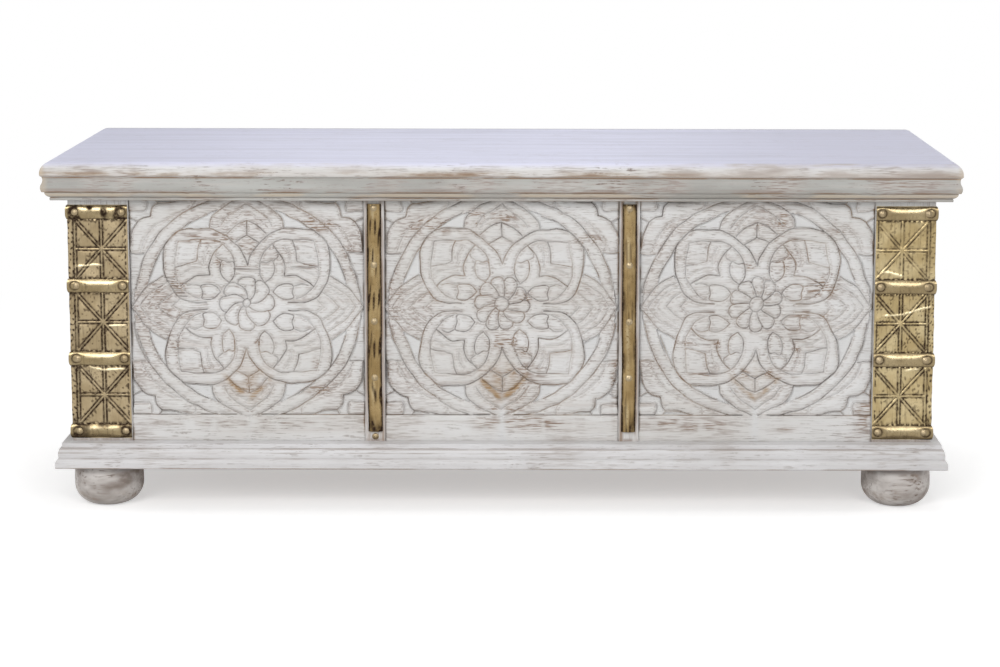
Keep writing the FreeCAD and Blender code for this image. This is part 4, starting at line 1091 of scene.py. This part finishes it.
# The lip's paint is darker, as painted shade under the nose
LIP_LOOK = {"wear": 1.1, "paint": (SHADED_LIP_PAINT, LIP_SHADE), "scratched": 1.0, "lines": LIP_WEAR_AND_SHADE_LINES}
PLINTH_LOOK = {"wear": 0.35, "paint": (PLINTH_PAINT, PLINTH_SHADE), "lines": PLINTH_LINES}
carved_paint = whitewash("carved_whitewash", "x", carved=True)
long_paint = whitewash("long_whitewash", "x", wear=0.55, scratched=0.35)
deep_paint = whitewash("deep_whitewash", "y", wear=0.55, scratched=0.35)
upright_paint = whitewash("upright_whitewash", "z", wear=0.6, scratched=0.35, lines=UPRIGHT_LINES)
lid_paint = whitewash("lid_whitewash_painted_top_light", "x", scratched=1.0, painted_cool_top_light=True, lines=LID_LINES)
lip_paint = whitewash("lip_whitewash_painted_shade", "x", **LIP_LOOK)
side_lip_paint = whitewash("side_lip_whitewash_painted_shade", "y", **LIP_LOOK)
plinth_paint = whitewash("plinth_whitewash", "x", **PLINTH_LOOK)
side_plinth_paint = whitewash("side_plinth_whitewash", "y", **PLINTH_LOOK)
foot_paint = whitewash("foot_whitewash", "x", wear=0.8, paint=(FOOT_PAINT, FOOT_SHADE), scratched=1.0,
                       fineness=0.5, lines=FOOT_LINES)
brass = aged_brass("aged_brass", srgb(153, 136, 106), srgb(175, 158, 127), tarnish=0.5, polish=0.3)
clean_brass = aged_brass("clean_brass", srgb(166, 147, 107), srgb(192, 175, 136), tarnish=0.4, polish=0.28)
strip_brass = aged_brass("strip_brass", srgb(136, 114, 77), srgb(164, 142, 102), tarnish=0.4, polish=0.25)
bright_brass = aged_brass("rubbed_brass", srgb(136, 120, 90), srgb(158, 142, 110), tarnish=0.25, polish=0.24)
nail_brass = aged_brass("nail_brass", srgb(144, 128, 100), srgb(172, 156, 128), tarnish=0.6, polish=0.36)
steel = hinge_steel("hinge_steel")
long_bare = bare_wood("long_bare_wood", "x")
deep_bare = bare_wood("deep_bare_wood", "y")

# What each node wears, with {} for left and right
FINISHES = [
    (upright_paint, "front_{}_post back_{}_post front_stile_{}"),
    (deep_paint, "side_top_rail_{} side_bottom_rail_{} side_panel_{}"),
    (long_paint, "back_top_rail back_bottom_rail back_panel"),
    (plinth_paint, "plinth_front plinth_back"),
    (side_plinth_paint, "plinth_{}"),
    (foot_paint, "foot_front_{} foot_back_{}"),
    (lid_paint, "lid_board_front lid_board_middle lid_board_back"),
    (lip_paint, "lid_lip_front"),
    (side_lip_paint, "lid_lip_{}"),
    (long_bare, "front_top_rail front_floor_rail floor_panel"),
    (deep_bare, "lid_batten_{}"),
    (nail_brass, "corner_nails strip_nails"),
    (steel, "hinge_body_leaf_{} hinge_lid_leaf_{} hinge_pin_{} hinge_body_screws lid_screws"),
    (steel, "stay_bracket stay_arm stay_stud"),
]
for finish, names in FINISHES:
    for name in names.split():
        for side in ("left", "right") if "{}" in name else ("",):
            slots = nodes[name.format(side)].data.materials
            slots.clear()
            slots.append(finish)

for side, settings in PANELS.items():
    carved_panel(f"front_panel_{side}", **settings)
# Each plate's seed, brass, crease and grime
PLATES = {
    "left_corner_plate_upper": (41, brass, (0.2, 0.02, 0.1, 0.6), 1.0),
    "left_corner_plate_middle": (45, brass, (0.44, 0.02, 0.6, 0.98), 1.0),
    "left_corner_plate_lower": (49, brass, (0.97, -0.02, 0.3, 0.95), 1.0),
    "right_corner_plate_upper": (53, clean_brass, (0.08, 0.03, 0.5, 0.92), 0.65),
    "right_corner_plate_middle": (57, clean_brass, (0.8, -0.2, 0.02, 0.88), 0.95),
    "right_corner_plate_lower": (61, clean_brass, (0.95, 0.02, 0.2, 0.5), 0.85),
}
for name, settings in PLATES.items():
    corner_plate(name, *settings)
corner_straps("left_corner_straps", seed=61)
corner_straps("right_corner_straps", seed=171)
stile_strip("stile_strip_left", seed=81, grime=0.95)
stile_strip("stile_strip_right", seed=91, grime=0.55)


# Floor, light and camera

def seen_share(shader):
    """1 for the rays that show the background itself: camera, glossy and transmission rays."""
    path = shader.node("LightPath", {})
    either = shader.math("MAXIMUM", path.outputs["Is Camera Ray"], path.outputs["Is Glossy Ray"])
    return shader.math("MAXIMUM", either, path.outputs["Is Transmission Ray"])


FLOOR_HALF = 9.0
FLOOR_COLOUR = (0.8, 0.8, 0.8, 1)
FLOOR_GLOW = 0.45
FLOOR_FADE = (0.8, 1.7)
WORLD_LIGHT = 0.4
floor_mesh = bpy.data.meshes.new("floor")
floor_corners = [(x * FLOOR_HALF, y * FLOOR_HALF, 0) for x, y in ((-1, -1), (1, -1), (1, 1), (-1, 1))]
floor_mesh.from_pydata(floor_corners, [], [(0, 1, 2, 3)])
floor = bpy.data.objects.new("floor", floor_mesh)
link(floor)
floor_shader = Shader(bpy.data.materials.new("pale_floor"))
diffuse = floor_shader.node("BsdfDiffuse", {"Color": FLOOR_COLOUR}).outputs[0]
seen = seen_share(floor_shader)
glow = floor_shader.node("Emission", {"Strength": floor_shader.times(seen, FLOOR_GLOW)}).outputs[0]
lit = floor_shader.node("AddShader", {0: diffuse, 1: glow}).outputs[0]
white = floor_shader.node("Emission", {"Strength": seen}).outputs[0]
reach = floor_shader.node("VectorMath", {0: floor_shader.coords()}, operation="LENGTH").outputs["Value"]
away = floor_shader.times(floor_shader.band(reach, *FLOOR_FADE), seen)
floor_sum = floor_shader.node("MixShader", {0: away, 1: lit, 2: white}).outputs[0]
floor_shader.node("OutputMaterial", {"Surface": floor_sum})
floor_mesh.materials.append(floor_shader.owner)

world = bpy.data.worlds.new("studio")
bpy.context.scene.world = world
sky = Shader(world)
strength = sky.plus(sky.times(seen_share(sky), 1 - WORLD_LIGHT), WORLD_LIGHT)
backdrop = sky.node("Background", {"Color": (1, 1, 1, 1), "Strength": strength}).outputs[0]
sky.node("OutputWorld", {"Surface": backdrop})

# Softboxes: place, aim, width and height, and power in watts
FRONT_AIM = (0, -0.1, 0.25)
END_AIM = (0, 0.1, 0.25)
LAMPS = {
    "key": ((-1.1, -2.7, 1.6), FRONT_AIM, (1.2, 1.4), 38),
    "fill": ((1.05, -2.8, 1.5), FRONT_AIM, (1.0, 1.2), 20),
    "overhead": ((0.2, 0.1, 2.8), (0, 0, 0.4), (2.4, 1.2), 18),
    "rear": ((0.4, 3.0, 0.45), (0, 0.2, 0.25), (2.4, 0.7), 18),
    "left_end": ((-3.2, 0.4, 0.6), END_AIM, (1.0, 0.8), 11),
    "right_end": ((3.2, 0.4, 0.6), END_AIM, (1.0, 0.8), 13),
}
for name, (place, aim, size, power) in LAMPS.items():
    lamp = bpy.data.lights.new(name, "AREA")
    lamp.shape = "RECTANGLE"
    lamp.size, lamp.size_y = size
    lamp.energy = power
    softbox = bpy.data.objects.new(name, lamp)
    softbox.location = place
    softbox.rotation_euler = (Vector(aim) - Vector(place)).to_track_quat("-Z", "Y").to_euler()
    link(softbox)

PIXELS_ACROSS = 1000
FOCAL_PIXELS = 2390.5
CAMERA_SHIFT = (-0.0428, -0.1257)
CAMERA_PLACE = (0.052, -3.188, 0.8143)
CAMERA_DOWN = math.radians(8)
CAMERA_ROLL = 0.0021
camera_data = bpy.data.cameras.new("camera")
camera_data.lens = camera_data.sensor_width * FOCAL_PIXELS / PIXELS_ACROSS
camera_data.shift_x, camera_data.shift_y = CAMERA_SHIFT
camera = bpy.data.objects.new("camera", camera_data)
camera.location = CAMERA_PLACE
turn = Euler((math.pi / 2 - CAMERA_DOWN, 0, 0)).to_matrix() @ Matrix.Rotation(CAMERA_ROLL, 3, "Z")
camera.rotation_euler = turn.to_euler()
link(camera)
bpy.context.scene.camera = camera
bpy.context.scene.view_settings.view_transform = "Standard"
